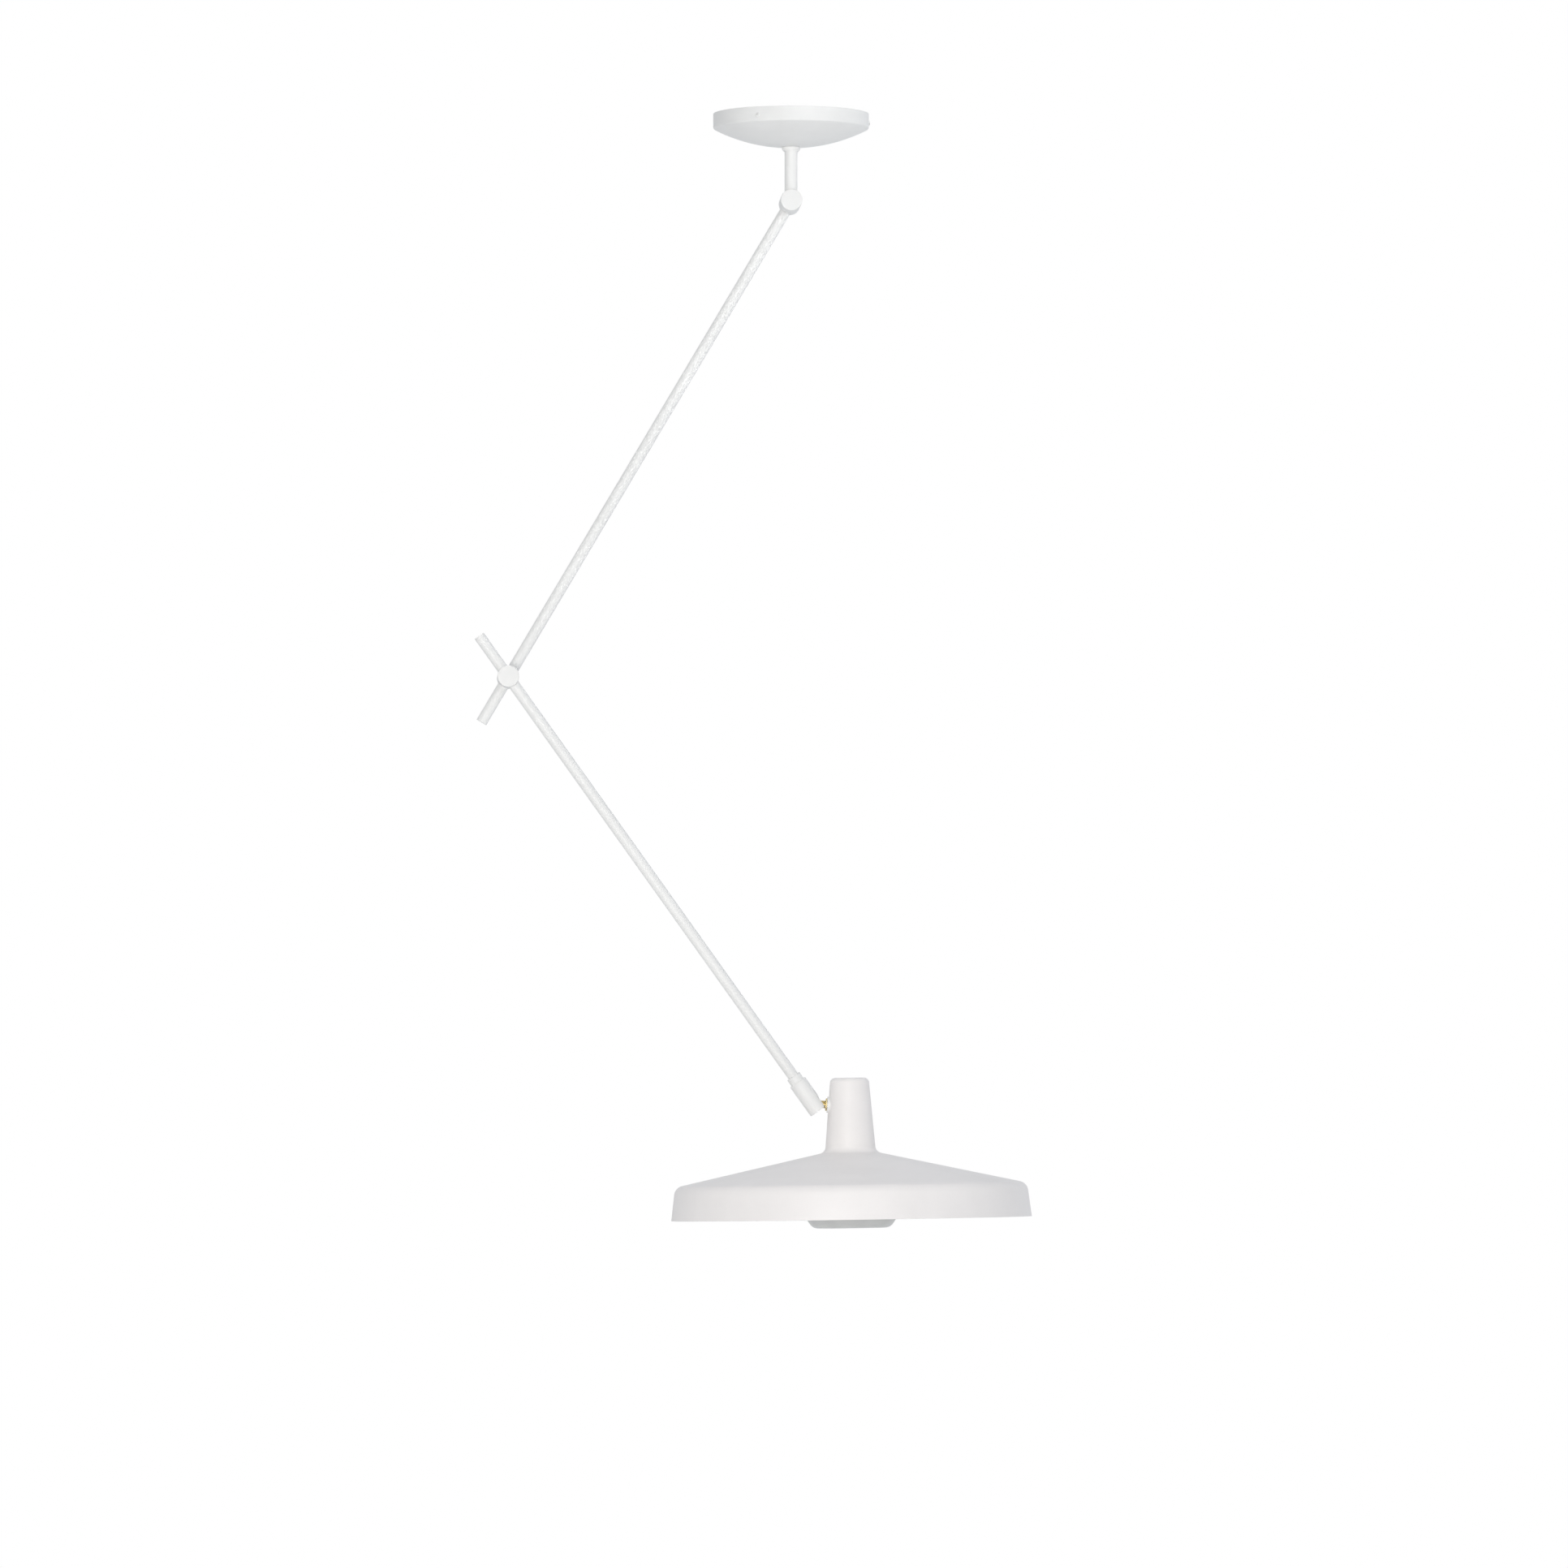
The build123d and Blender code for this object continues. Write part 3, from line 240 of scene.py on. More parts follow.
def powder_coat(name, light, dark, edge):
    """Polyester powder, sprayed on and baked. It gives a matt white with a soft highlight, a
    faint orange peel, tiny specks, and corners where the coat has drawn thin."""
    material, tree = new_material(name)
    coords = add(tree, "ShaderNodeTexCoord").outputs["Object"]
    drift = add(tree, "ShaderNodeTexNoise", {
        "Vector": coords, "Scale": 1 / (90 * MM), "Detail": 4.0, "Roughness": 0.6,
    })
    # real peel is about 0.8 mm across; it is drawn twice as wide, so that it shows
    peel = add(tree, "ShaderNodeTexNoise", {
        "Vector": coords, "Scale": 1 / (1.6 * MM), "Detail": 3.0,
    })
    grit = add(tree, "ShaderNodeTexNoise", {
        "Vector": coords, "Scale": 1 / (0.5 * MM), "Detail": 1.0,
    })
    handled = add(tree, "ShaderNodeTexNoise", {
        "Vector": coords, "Scale": 1 / (24 * MM), "Detail": 6.0, "Roughness": 0.7,
    })
    tint = two_tone(tree, drift, light, dark)
    specks = add(tree, "ShaderNodeMapRange", {
        "Value": grit.outputs["Fac"], "From Min": 0.58, "From Max": 0.8, "To Max": 0.16,
    })
    specked = add(tree, "ShaderNodeMix", {
        "Factor": specks.outputs["Result"], "A": tint, "B": linear("B9B8B4"),
    }, data_type="RGBA")
    thin = add(tree, "ShaderNodeMath", {
        0: worn_edges(tree, 0.5 * MM, 0.98, 0.8), 1: 0.3,
    }, operation="MULTIPLY")
    colour = add(tree, "ShaderNodeMix", {
        "Factor": thin.outputs["Value"], "A": specked.outputs["Result"], "B": linear(edge),
    }, data_type="RGBA")
    rough = add(tree, "ShaderNodeMapRange", {
        "Value": handled.outputs["Fac"], "From Min": 0.3, "From Max": 0.7,
        "To Min": 0.43, "To Max": 0.55,
    })
    waves = add(tree, "ShaderNodeBump", {
        "Strength": 0.25, "Distance": 0.05 * MM, "Height": peel.outputs["Fac"],
    })
    grain = add(tree, "ShaderNodeBump", {
        "Strength": 0.2, "Distance": 0.02 * MM, "Height": grit.outputs["Fac"],
        "Normal": waves.outputs["Normal"],
    })
    shader = add(tree, "ShaderNodeBsdfPrincipled", {
        "Base Color": colour.outputs["Result"],
        "Roughness": rough.outputs["Result"],
        "IOR": 1.5,
        "Normal": grain.outputs["Normal"],
    })
    add(tree, "ShaderNodeOutputMaterial", {"Surface": shader.outputs["BSDF"]})
    return material


def bare_metal(name, light, dark, bright, rough, blotch, grain_size, way=None):
    """Plated or lacquered metal. Blotches of tarnish dull it, its corners are rubbed bright,
    and where it is turned on a lathe, fine rings run round it."""
    material, tree = new_material(name)
    coords = add(tree, "ShaderNodeTexCoord").outputs["Object"]
    tarnish = add(tree, "ShaderNodeTexNoise", {
        "Vector": coords, "Scale": 1 / blotch, "Detail": 5.0, "Roughness": 0.65,
    })
    scuffs = add(tree, "ShaderNodeTexNoise", {
        "Vector": coords, "Scale": 3 / blotch, "Detail": 6.0, "Roughness": 0.75,
    })
    if way is None:
        grain = add(tree, "ShaderNodeTexNoise", {
            "Vector": coords, "Scale": 1 / grain_size, "Detail": 2.0,
        })
    else:
        along = add(tree, "ShaderNodeVectorMath", {0: coords, 1: way}, operation="DOT_PRODUCT")
        grain = add(tree, "ShaderNodeTexNoise", {
            "W": along.outputs["Value"], "Scale": 1 / grain_size, "Detail": 3.0,
        }, noise_dimensions="1D")
    tint = two_tone(tree, tarnish, light, dark)
    colour = add(tree, "ShaderNodeMix", {
        "Factor": worn_edges(tree, 0.25 * MM, 0.98, 0.85),
        "A": tint, "B": linear(bright),
    }, data_type="RGBA")
    dull = add(tree, "ShaderNodeMapRange", {
        "Value": scuffs.outputs["Fac"], "From Min": 0.3, "From Max": 0.7,
        "To Min": rough[0], "To Max": rough[1],
    })
    marks = add(tree, "ShaderNodeBump", {
        "Strength": 0.25, "Distance": 0.01 * MM, "Height": grain.outputs["Fac"],
    })
    shader = add(tree, "ShaderNodeBsdfPrincipled", {
        "Base Color": colour.outputs["Result"],
        "Metallic": 1.0,
        "Roughness": dull.outputs["Result"],
        "Normal": marks.outputs["Normal"],
    })
    add(tree, "ShaderNodeOutputMaterial", {"Surface": shader.outputs["BSDF"]})
    return material


def moulded_plastic(name, light, dark, rubbed, rough, ior):
    """Moulded in a spark-eroded tool. It gives an even colour under a fine pebbled skin, a
    little shinier where fingers have rubbed it."""
    material, tree = new_material(name)
    coords = add(tree, "ShaderNodeTexCoord").outputs["Object"]
    drift = add(tree, "ShaderNodeTexNoise", {
        "Vector": coords, "Scale": 1 / (14 * MM), "Detail": 5.0, "Roughness": 0.65,
    })
    pebbles = add(tree, "ShaderNodeTexVoronoi", {"Vector": coords, "Scale": 1 / (0.6 * MM)})
    tint = two_tone(tree, drift, light, dark)
    colour = add(tree, "ShaderNodeMix", {
        "Factor": worn_edges(tree, 0.4 * MM, 0.98, 0.8),
        "A": tint, "B": linear(rubbed),
    }, data_type="RGBA")
    dull = add(tree, "ShaderNodeMapRange", {
        "Value": drift.outputs["Fac"], "From Min": 0.3, "From Max": 0.7,
        "To Min": rough[0], "To Max": rough[1],
    })
    skin = add(tree, "ShaderNodeBump", {
        "Strength": 0.2, "Distance": 0.02 * MM, "Height": pebbles.outputs["Distance"],
    })
    shader = add(tree, "ShaderNodeBsdfPrincipled", {
        "Base Color": colour.outputs["Result"],
        "Roughness": dull.outputs["Result"],
        "IOR": ior,
        "Normal": skin.outputs["Normal"],
    })
    add(tree, "ShaderNodeOutputMaterial", {"Surface": shader.outputs["BSDF"]})
    return material


def opal_sheet(name, light, dark, rough, ior, depth):
    """Milky sheet that scatters light inside itself. It gives a deep, soft white with a dull
    shine, slow ripples from forming, and a breath of dust."""
    material, tree = new_material(name)
    coords = add(tree, "ShaderNodeTexCoord").outputs["Object"]
    drift = add(tree, "ShaderNodeTexNoise", {
        "Vector": coords, "Scale": 1 / (30 * MM), "Detail": 3.0,
    })
    dust = add(tree, "ShaderNodeTexNoise", {
        "Vector": coords, "Scale": 1 / (4 * MM), "Detail": 6.0, "Roughness": 0.75,
    })
    ripple = add(tree, "ShaderNodeTexNoise", {
        "Vector": coords, "Scale": 1 / (9 * MM), "Detail": 1.0,
    })
    tint = two_tone(tree, drift, light, dark)
    dusty = add(tree, "ShaderNodeMapRange", {
        "Value": dust.outputs["Fac"], "From Min": 0.3, "From Max": 0.7,
        "To Min": rough[0], "To Max": rough[1],
    })
    formed = add(tree, "ShaderNodeBump", {
        "Strength": 0.15, "Distance": 0.05 * MM, "Height": ripple.outputs["Fac"],
    })
    shader = add(tree, "ShaderNodeBsdfPrincipled", {
        "Base Color": tint,
        "Roughness": dusty.outputs["Result"],
        "IOR": ior,
        "Subsurface Weight": 0.35,
        "Subsurface Radius": (1.0, 1.0, 0.9),
        "Subsurface Scale": depth,
        "Normal": formed.outputs["Normal"],
    })
    add(tree, "ShaderNodeOutputMaterial", {"Surface": shader.outputs["BSDF"]})
    return material


coated_steel = powder_coat("polyester_powder_coat_on_steel", "EEEEEC", "E9E9E7", "CFCFCC")
coated_shade = powder_coat("polyester_powder_coat_on_spun_aluminium", "F1EEEC", "EDEAE8", "D3D0CD")
turned_brass = bare_metal(
    "lacquered_turned_brass", "EDDDB0", "D8C48A", "F6EBCB", (0.2, 0.34), 6 * MM, 0.25 * MM,
    way=stud_way,
)
zinc_steel = bare_metal(
    "zinc_plated_pressed_steel", "C9CCCE", "AFB3B6", "DDDFE0", (0.28, 0.46), 9 * MM, 0.5 * MM,
)
blued_steel = bare_metal(
    "blued_spring_steel", "6E7076", "55575C", "9A9CA1", (0.3, 0.45), 5 * MM, 0.4 * MM,
)
nickel_brass = bare_metal(
    "nickel_plated_drawn_brass", "D8D5CC", "BFBBB0", "E9E6DD", (0.2, 0.34), 5 * MM, 0.4 * MM,
)
# painted shade: the diffuser's two tones are greyer than the acrylic's own white, darkened to stand for the shade
# on its down-facing side
opal_acrylic = opal_sheet(
    "opal_acrylic_vacuum_formed_greyed_for_painted_shade", "D8D8D5", "D1D1CE", (0.34, 0.48), 1.49, 2.0 * MM,
)
opal_glass = opal_sheet("opal_blown_glass", "F4F4F1", "EEEEEA", (0.16, 0.28), 1.52, 1.2 * MM)
phenolic = moulded_plastic(
    "phenolic_resin_moulded", "2A2826", "201E1D", "3C3A37", (0.34, 0.48), 1.6,
)
nylon = moulded_plastic("nylon_moulded", "ECEBE2", "E2E0D5", "F3F2EA", (0.4, 0.55), 1.53)
acetal = moulded_plastic("acetal_moulded", "3A3A3C", "2C2C2E", "505053", (0.3, 0.42), 1.48)

material_of_slot = {
    "powder_coated_steel": coated_steel,
    "powder_coated_aluminium": coated_shade,
    "zinc_plated_steel": zinc_steel,
    "spring_steel": blued_steel,
    "brass": turned_brass,
    "opal_acrylic": opal_acrylic,
    "opal_glass": opal_glass,
    "phenolic_plastic": phenolic,
    "insulating_plastic": nylon,
    "friction_polymer": acetal,
    "nickel_plated_brass": nickel_brass,
}


def dress_cad_nodes():
    """Gives every CAD piece that stays the finish of its own material slot."""
    for name, piece in frame["nodes"].items():
        for holder in piece.material_slots:
            holder.material = material_of_slot[slot_of_node[name]]


# ---- mesh tools ----

def rounded(corners, steps=8):
    """Points along a line of (radius, height, bend) corners, each corner bent to an arc."""
    points = []
    for index, (x, y, bend) in enumerate(corners):
        if bend <= 0 or index in (0, len(corners) - 1):
            points.append((x, y))
            continue
        here = Vector((x, y))
        back = (Vector(corners[index - 1][:2]) - here).normalized()
        ahead = (Vector(corners[index + 1][:2]) - here).normalized()
        half = back.angle(ahead) / 2
        centre = here + (back + ahead).normalized() * (bend / math.sin(half))
        start = here + back * (bend / math.tan(half)) - centre
        end = here + ahead * (bend / math.tan(half)) - centre
        first = math.atan2(start.y, start.x)
        sweep = (math.atan2(end.y, end.x) - first + math.pi) % (2 * math.pi) - math.pi
        for step in range(steps + 1):
            angle = first + sweep * step / steps
            points.append((centre.x + bend * math.cos(angle), centre.y + bend * math.sin(angle)))
    return points


def lathe(outline, segments):
    """Closed mesh turned about +Z from a closed outline of (radius, height) points."""
    build = bmesh.new()
    rings = []
    for radius, height in outline:
        count = segments if radius > SAME_PLACE else 1
        rings.append([
            build.verts.new((
                radius * math.cos(2 * math.pi * k / segments),
                radius * math.sin(2 * math.pi * k / segments),
                height,
            ))
            for k in range(count)
        ])
    for low, high in zip(rings, rings[1:] + rings[:1]):
        if len(low) == 1 and len(high) == 1:
            continue
        for k in range(segments):
            corners = [
                low[k % len(low)], low[(k + 1) % len(low)],
                high[(k + 1) % len(high)], high[k % len(high)],
            ]
            build.faces.new(list(dict.fromkeys(corners)))
    bmesh.ops.remove_doubles(build, verts=build.verts, dist=SAME_PLACE)
    bmesh.ops.recalc_face_normals(build, faces=build.faces)
    mesh = bpy.data.meshes.new("lathe")
    build.to_mesh(mesh)
    build.free()
    return mesh


def moved(mesh, place):
    mesh.transform(place)
    return mesh


def joined(*meshes):
    """One mesh from several, each a closed shell of its own."""
    build = bmesh.new()
    for mesh in meshes:
        build.from_mesh(mesh)
    whole = bpy.data.meshes.new("joined")
    build.to_mesh(whole)
    build.free()
    return whole


def evaluated(holder):
    """The plain mesh that an object's modifiers make; the object itself is thrown away."""
    bpy.context.scene.collection.objects.link(holder)
    graph = bpy.context.evaluated_depsgraph_get()
    mesh = bpy.data.meshes.new_from_object(holder.evaluated_get(graph), depsgraph=graph)
    bpy.data.objects.remove(holder)
    return mesh


def carved(mesh, tool, operation="DIFFERENCE"):
    """The mesh with a tool cut out of it, or cut down to the tool."""
    cutter = bpy.data.objects.new("cutter", tool)
    bpy.context.scene.collection.objects.link(cutter)
    holder = bpy.data.objects.new("carved", mesh)
    boolean = holder.modifiers.new("carve", "BOOLEAN")
    boolean.operation = operation
    boolean.solver = "EXACT"
    boolean.object = cutter
    result = evaluated(holder)
    bpy.data.objects.remove(cutter)
    return result


def make_piece(name, mesh, body, slot, *replaced, smooth_angle=32):
    """Puts a finished mesh into the scene in place of CAD nodes, riding on a body."""
    mesh.name = name
    mesh.materials.clear()
    mesh.materials.append(material_of_slot[slot])
    mesh.shade_smooth()
    mesh.set_sharp_from_angle(angle=math.radians(smooth_angle))
    piece = bpy.data.objects.new(name, mesh)
    bpy.context.scene.collection.objects.link(piece)
    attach(piece, body)
    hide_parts(*replaced)


# ---- what repeats, in Geometry Nodes ----

def new_tree(name, sizes, takes_geometry=False):
    """Geometry Nodes tree with named inputs, and the node that gives them."""
    tree = bpy.data.node_groups.new(name, "GeometryNodeTree")
    sockets = ([("Geometry", "NodeSocketGeometry")] if takes_geometry else []) + sizes
    for label, kind in sockets + [("Material", "NodeSocketMaterial")]:
        tree.interface.new_socket(label, in_out="INPUT", socket_type=kind)
    tree.interface.new_socket("Geometry", in_out="OUTPUT", socket_type="NodeSocketGeometry")
    return tree, add(tree, "NodeGroupInput").outputs


def end_tree(tree, given, geometry):
    """Ends a tree with real geometry in the material that its input gives."""
    real = add(tree, "GeometryNodeRealizeInstances", {"Geometry": geometry})
    coated = add(tree, "GeometryNodeSetMaterial", {
        "Geometry": real.outputs["Geometry"], "Material": given["Material"],
    })
    add(tree, "NodeGroupOutput", {"Geometry": coated.outputs["Geometry"]})
    return tree


def grown(tree, values, mesh=None):
    """The plain mesh that a tree makes when its named inputs have these values."""
    holder = bpy.data.objects.new("grown", mesh or bpy.data.meshes.new("empty"))
    maker = holder.modifiers.new("maker", "NODES")
    maker.node_group = tree
    for socket in tree.interface.items_tree:
        if socket.in_out == "INPUT" and socket.name in values:
            maker[socket.identifier] = values[socket.name]
    return evaluated(holder)


def thread_tree():
    """A helical ridge of a screw thread, crest outwards, that starts at z = 0."""
    tree, given = new_tree("screw_thread", [
        ("Radius", "NodeSocketFloat"), ("Turns", "NodeSocketFloat"),
        ("Length", "NodeSocketFloat"), ("Ridge", "NodeSocketFloat"),
    ])
    helix = add(tree, "GeometryNodeCurveSpiral", {
        "Resolution": 40, "Rotations": given["Turns"], "Start Radius": given["Radius"],
        "End Radius": given["Radius"], "Height": given["Length"],
    })
    level = add(tree, "GeometryNodeSetCurveNormal", {"Curve": helix.outputs["Curve"]},
                mode="Z_UP")
    section = add(tree, "GeometryNodeCurvePrimitiveCircle", {
        "Resolution": 4, "Radius": given["Ridge"],
    })
    ridge = add(tree, "GeometryNodeCurveToMesh", {
        "Curve": level.outputs["Curve"], "Profile Curve": section.outputs["Curve"],
        "Fill Caps": True,
    })
    return end_tree(tree, given, ridge.outputs["Mesh"])


def knurl_tree():
    """Straight ridges round a thumbscrew's head, centred on z = 0."""
    tree, given = new_tree("straight_knurl", [
        ("Radius", "NodeSocketFloat"), ("Ridges", "NodeSocketInt"),
        ("Length", "NodeSocketFloat"), ("Ridge", "NodeSocketFloat"),
    ])
    places = add(tree, "GeometryNodeMeshCircle", {
        "Vertices": given["Ridges"], "Radius": given["Radius"],
    })
    ridge = add(tree, "GeometryNodeMeshCylinder", {
        "Vertices": 4, "Radius": given["Ridge"], "Depth": given["Length"],
    })
    outwards = add(tree, "GeometryNodeInputPosition").outputs["Position"]
    facing = add(tree, "FunctionNodeAlignRotationToVector", {"Vector": outwards}, axis="X",
                 pivot_axis="Z")
    ridges = add(tree, "GeometryNodeInstanceOnPoints", {
        "Points": places.outputs["Mesh"], "Instance": ridge.outputs["Mesh"],
        "Rotation": facing.outputs["Rotation"],
    })
    return end_tree(tree, given, ridges.outputs["Instances"])


def ring_of_tree():
    """Copies of one piece, spaced evenly round the Z axis."""
    tree, given = new_tree("ring_of", [("Count", "NodeSocketInt")], takes_geometry=True)
    points = add(tree, "GeometryNodeMeshLine", {"Count": given["Count"], "Offset": (0, 0, 0)})
    index = add(tree, "GeometryNodeInputIndex").outputs["Index"]
    share = add(tree, "ShaderNodeMath", {0: index, 1: given["Count"]}, operation="DIVIDE")
    angle = add(tree, "ShaderNodeMath", {0: share.outputs["Value"], 1: 2 * math.pi},
                operation="MULTIPLY")
    turned = add(tree, "ShaderNodeCombineXYZ", {"Z": angle.outputs["Value"]})
    copies = add(tree, "GeometryNodeInstanceOnPoints", {
        "Points": points.outputs["Mesh"], "Instance": given["Geometry"],
        "Rotation": turned.outputs["Vector"],
    })
    return end_tree(tree, given, copies.outputs["Instances"])


screw_thread = thread_tree()
straight_knurl = knurl_tree()
ring_of = ring_of_tree()


def thread(radius, low, high, slot):
    """Ridge of a metric thread whose crest is at this radius."""
    mesh = grown(screw_thread, {
        "Radius": radius - THREAD_RIDGE, "Turns": (high - low) / THREAD_PITCH,
        "Length": high - low, "Ridge": THREAD_RIDGE, "Material": material_of_slot[slot],
    })
    return moved(mesh, Matrix.Translation((0, 0, low)))


def on_the_side(mesh, height, heading):
    """Turns a piece drawn about +Z to point outwards at this height and heading."""
    outwards = Vector((math.cos(heading), math.sin(heading), 0))
    return moved(mesh, axes((0, 0, height), outwards, (0, 0, 1)))


def three_round(mesh, slot, place):
    """Three copies of a piece, evenly round an axis of the lamp."""
    return moved(grown(ring_of, {"Count": 3, "Material": material_of_slot[slot]}, mesh), place)


# ---- canopy ----

def make_canopy_cover():
    """Spun steel cover: a shallow dome, a tight corner and a short upright wall."""
    dome_centre = CANOPY_DOME - CANOPY_DEPTH

    def side(sheet):
        wall = CANOPY_RADIUS - sheet
        dome = CANOPY_DOME - sheet
        # the step next to the wall is left out, so that the corner has room for its arc
        steps = [step / DOME_STEPS for step in range(DOME_STEPS - 1)]
        radii = [CANOPY_HOLE + (wall - CANOPY_HOLE) * step for step in steps] + [wall]
        line = [(radius, dome_centre - math.sqrt(dome ** 2 - radius ** 2), 0) for radius in radii]
        line[-1] = (*line[-1][:2], CANOPY_CORNER - sheet)
        return rounded(line + [(wall, 0, 0)])

    outline = side(0) + side(CANOPY_SHEET)[::-1]
    mesh = moved(lathe(outline, 192), stem_place)
    make_piece("canopy_spun_cover", mesh, "root", "powder_coated_steel", "canopy_cover")


def make_canopy_side_screws():
    """Pan-head screws with a tapered cross recess."""
    seat = CANOPY_RADIUS
    top = seat + SIDE_SCREW_RISE
    past = 0.5 * MM
    screw = lathe(rounded([
        (0, SIDE_SCREW_INNER, 0),
        (SIDE_SCREW_SHANK, SIDE_SCREW_INNER, 0.3 * MM),
        (SIDE_SCREW_SHANK, seat, 0),
        (SIDE_SCREW_HEAD, seat, 0),
        (SIDE_SCREW_HEAD, top - 0.2 * SIDE_SCREW_RISE, 1.0 * MM),
        (0, top, 0),
    ]), 64)
    for turn in (0, math.pi / 2):
        wing = lathe([
            (0, top - RECESS_DEPTH), (RECESS_FOOT_RADIUS, top - RECESS_SHOULDER),
            (RECESS_MOUTH_RADIUS, top + past), (0, top + past),
        ], 4)
        flat = Matrix.Diagonal((1.0, RECESS_FLATNESS, 1.0, 1.0))
        turned = Matrix.Rotation(turn, 4, "Z")
        screw = carved(screw, moved(wing, turned @ flat))
    screw = on_the_side(screw, SIDE_SCREW_HEIGHT, SIDE_SCREW_HEADING)
    mesh = three_round(screw, "powder_coated_steel", stem_place)
    make_piece("canopy_side_screws_cross_recessed", mesh, "root", "powder_coated_steel",
               "canopy_side_screws")


def threaded_tube(outer, bore, low, high, slot):
    """Core of a threaded tube with chamfered ends, and the ridge wound on it."""
    core = outer - THREAD_DEPTH
    ease = 0.4 * MM
    tube = lathe([
        (bore, low), (core - ease, low), (core, low + ease),
        (core, high - ease), (core - ease, high), (bore, high),
    ], 64)
    return joined(tube, thread(outer, low + THREAD_PITCH, high - THREAD_PITCH, slot))


def make_nipples():
    """The threaded tubes that hold the canopy and the lampholder."""
    slot = "zinc_plated_steel"
    canopy = threaded_tube(NIPPLE_RADIUS, NIPPLE_BORE, *CANOPY_NIPPLE, slot)
    make_piece("canopy_threaded_nipple", moved(canopy, stem_place), "root", slot,
               "canopy_nipple")
    lamp = threaded_tube(NIPPLE_RADIUS, NIPPLE_BORE, *LAMP_NIPPLE, slot)
    make_piece("lampholder_threaded_nipple", moved(lamp, shade_place), "shade", slot,
               "lampholder_nipple")


# ---- hinges ----

def make_hinge_caps():
    """Pressed-in caps whose edge is rolled over, so that a thin line of light runs round."""
    lip_end = CAP_THICKNESS + CAP_LIP_DEPTH
    for cap, front, body in (
        ("shoulder_front_cap", True, "stem"),
        ("shoulder_rear_cap", False, "upper_arm"),
        ("elbow_front_cap", True, "lower_arm"),
        ("elbow_rear_cap", False, "upper_arm"),
    ):
        mesh = lathe(rounded([
            (0, 0, 0),
            (CAP_RADIUS, 0, CAP_EDGE),
            (CAP_RADIUS, CAP_THICKNESS, 0),
            (CAP_LIP_RADIUS, CAP_THICKNESS, 0),
            (CAP_LIP_RADIUS, lip_end, 0),
            (CAP_LIP_RADIUS - CAP_LIP_WALL, lip_end, 0),
            (CAP_LIP_RADIUS - CAP_LIP_WALL, CAP_THICKNESS, 0),
            (0, CAP_THICKNESS, 0),
        ], steps=5), 96)
        low, high = (Vector(corner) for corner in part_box(cap))
        face = (low + high) / 2
        face.y = low.y if front else high.y
        place = axes(face, (0, 1 if front else -1, 0), (1, 0, 0))
        make_piece(cap + "_rolled", moved(mesh, place), body, "powder_coated_steel", cap)


# ---- ball swivel ----

def make_ball_stud():
    """Turned brass: the ball, a plain neck, and a hollow threaded stud."""
    core = STUD_RADIUS - THREAD_DEPTH
    neck_angle = math.asin(STUD_RADIUS / BALL_RADIUS)
    back_angle = math.pi - math.asin(BALL_MOUTH / BALL_RADIUS)
    sphere = [
        (BALL_RADIUS * math.sin(a), BALL_RADIUS * math.cos(a))
        for a in (
            back_angle + (neck_angle - back_angle) * step / BALL_STEPS
            for step in range(BALL_STEPS + 1)
        )
    ]
    ease = 0.5 * MM
    outline = sphere + [
        (STUD_RADIUS, STUD_NECK_END - ease),
        (STUD_RADIUS - ease, STUD_NECK_END),
        (core, STUD_NECK_END),
        (core, STUD_LENGTH - ease),
        (core - ease, STUD_LENGTH),
        (STUD_BORE, STUD_LENGTH),
        # from here the bore flares to its mouth in the back of the ball
        (STUD_BORE, -STUD_BORE),
    ]
    ridge = thread(STUD_RADIUS, STUD_NECK_END + ease, STUD_LENGTH - THREAD_PITCH, "brass")
    mesh = moved(joined(lathe(outline, 96), ridge), stud_place)
    make_piece("ball_stud_turned", mesh, "ball_joint", "brass", "ball_stud")


def chamfered_nut(low, high, across_flats):
    """Hexagon nut whose corners are turned off at both ends."""
    corner = across_flats / math.sqrt(3)
    face = across_flats / 2 - NUT_FACE_INSET
    blank = lathe([
        (STUD_RADIUS, low), (face, low), (corner, low + NUT_CHAMFER),
        (corner, high - NUT_CHAMFER), (face, high), (STUD_RADIUS, high),
    ], 96)
    past = 1 * MM
    hexagon = lathe([
        (0, low - past), (corner, low - past), (corner, high + past), (0, high + past),
    ], 6)
    # two of the flats face the front and the back
    squared = Matrix.Rotation(math.radians(30), 4, "Z")
    return carved(blank, moved(hexagon, squared), "INTERSECT")


def make_stud_nuts():
    """The nut outside the shade and the nut inside it, one piece for the stud's two nuts."""
    mesh = joined(chamfered_nut(*OUTER_NUT), chamfered_nut(*INNER_NUT))
    make_piece("stud_nuts_chamfered", moved(mesh, stud_place), "ball_joint", "brass",
               "stud_nuts")


# ---- shade ----

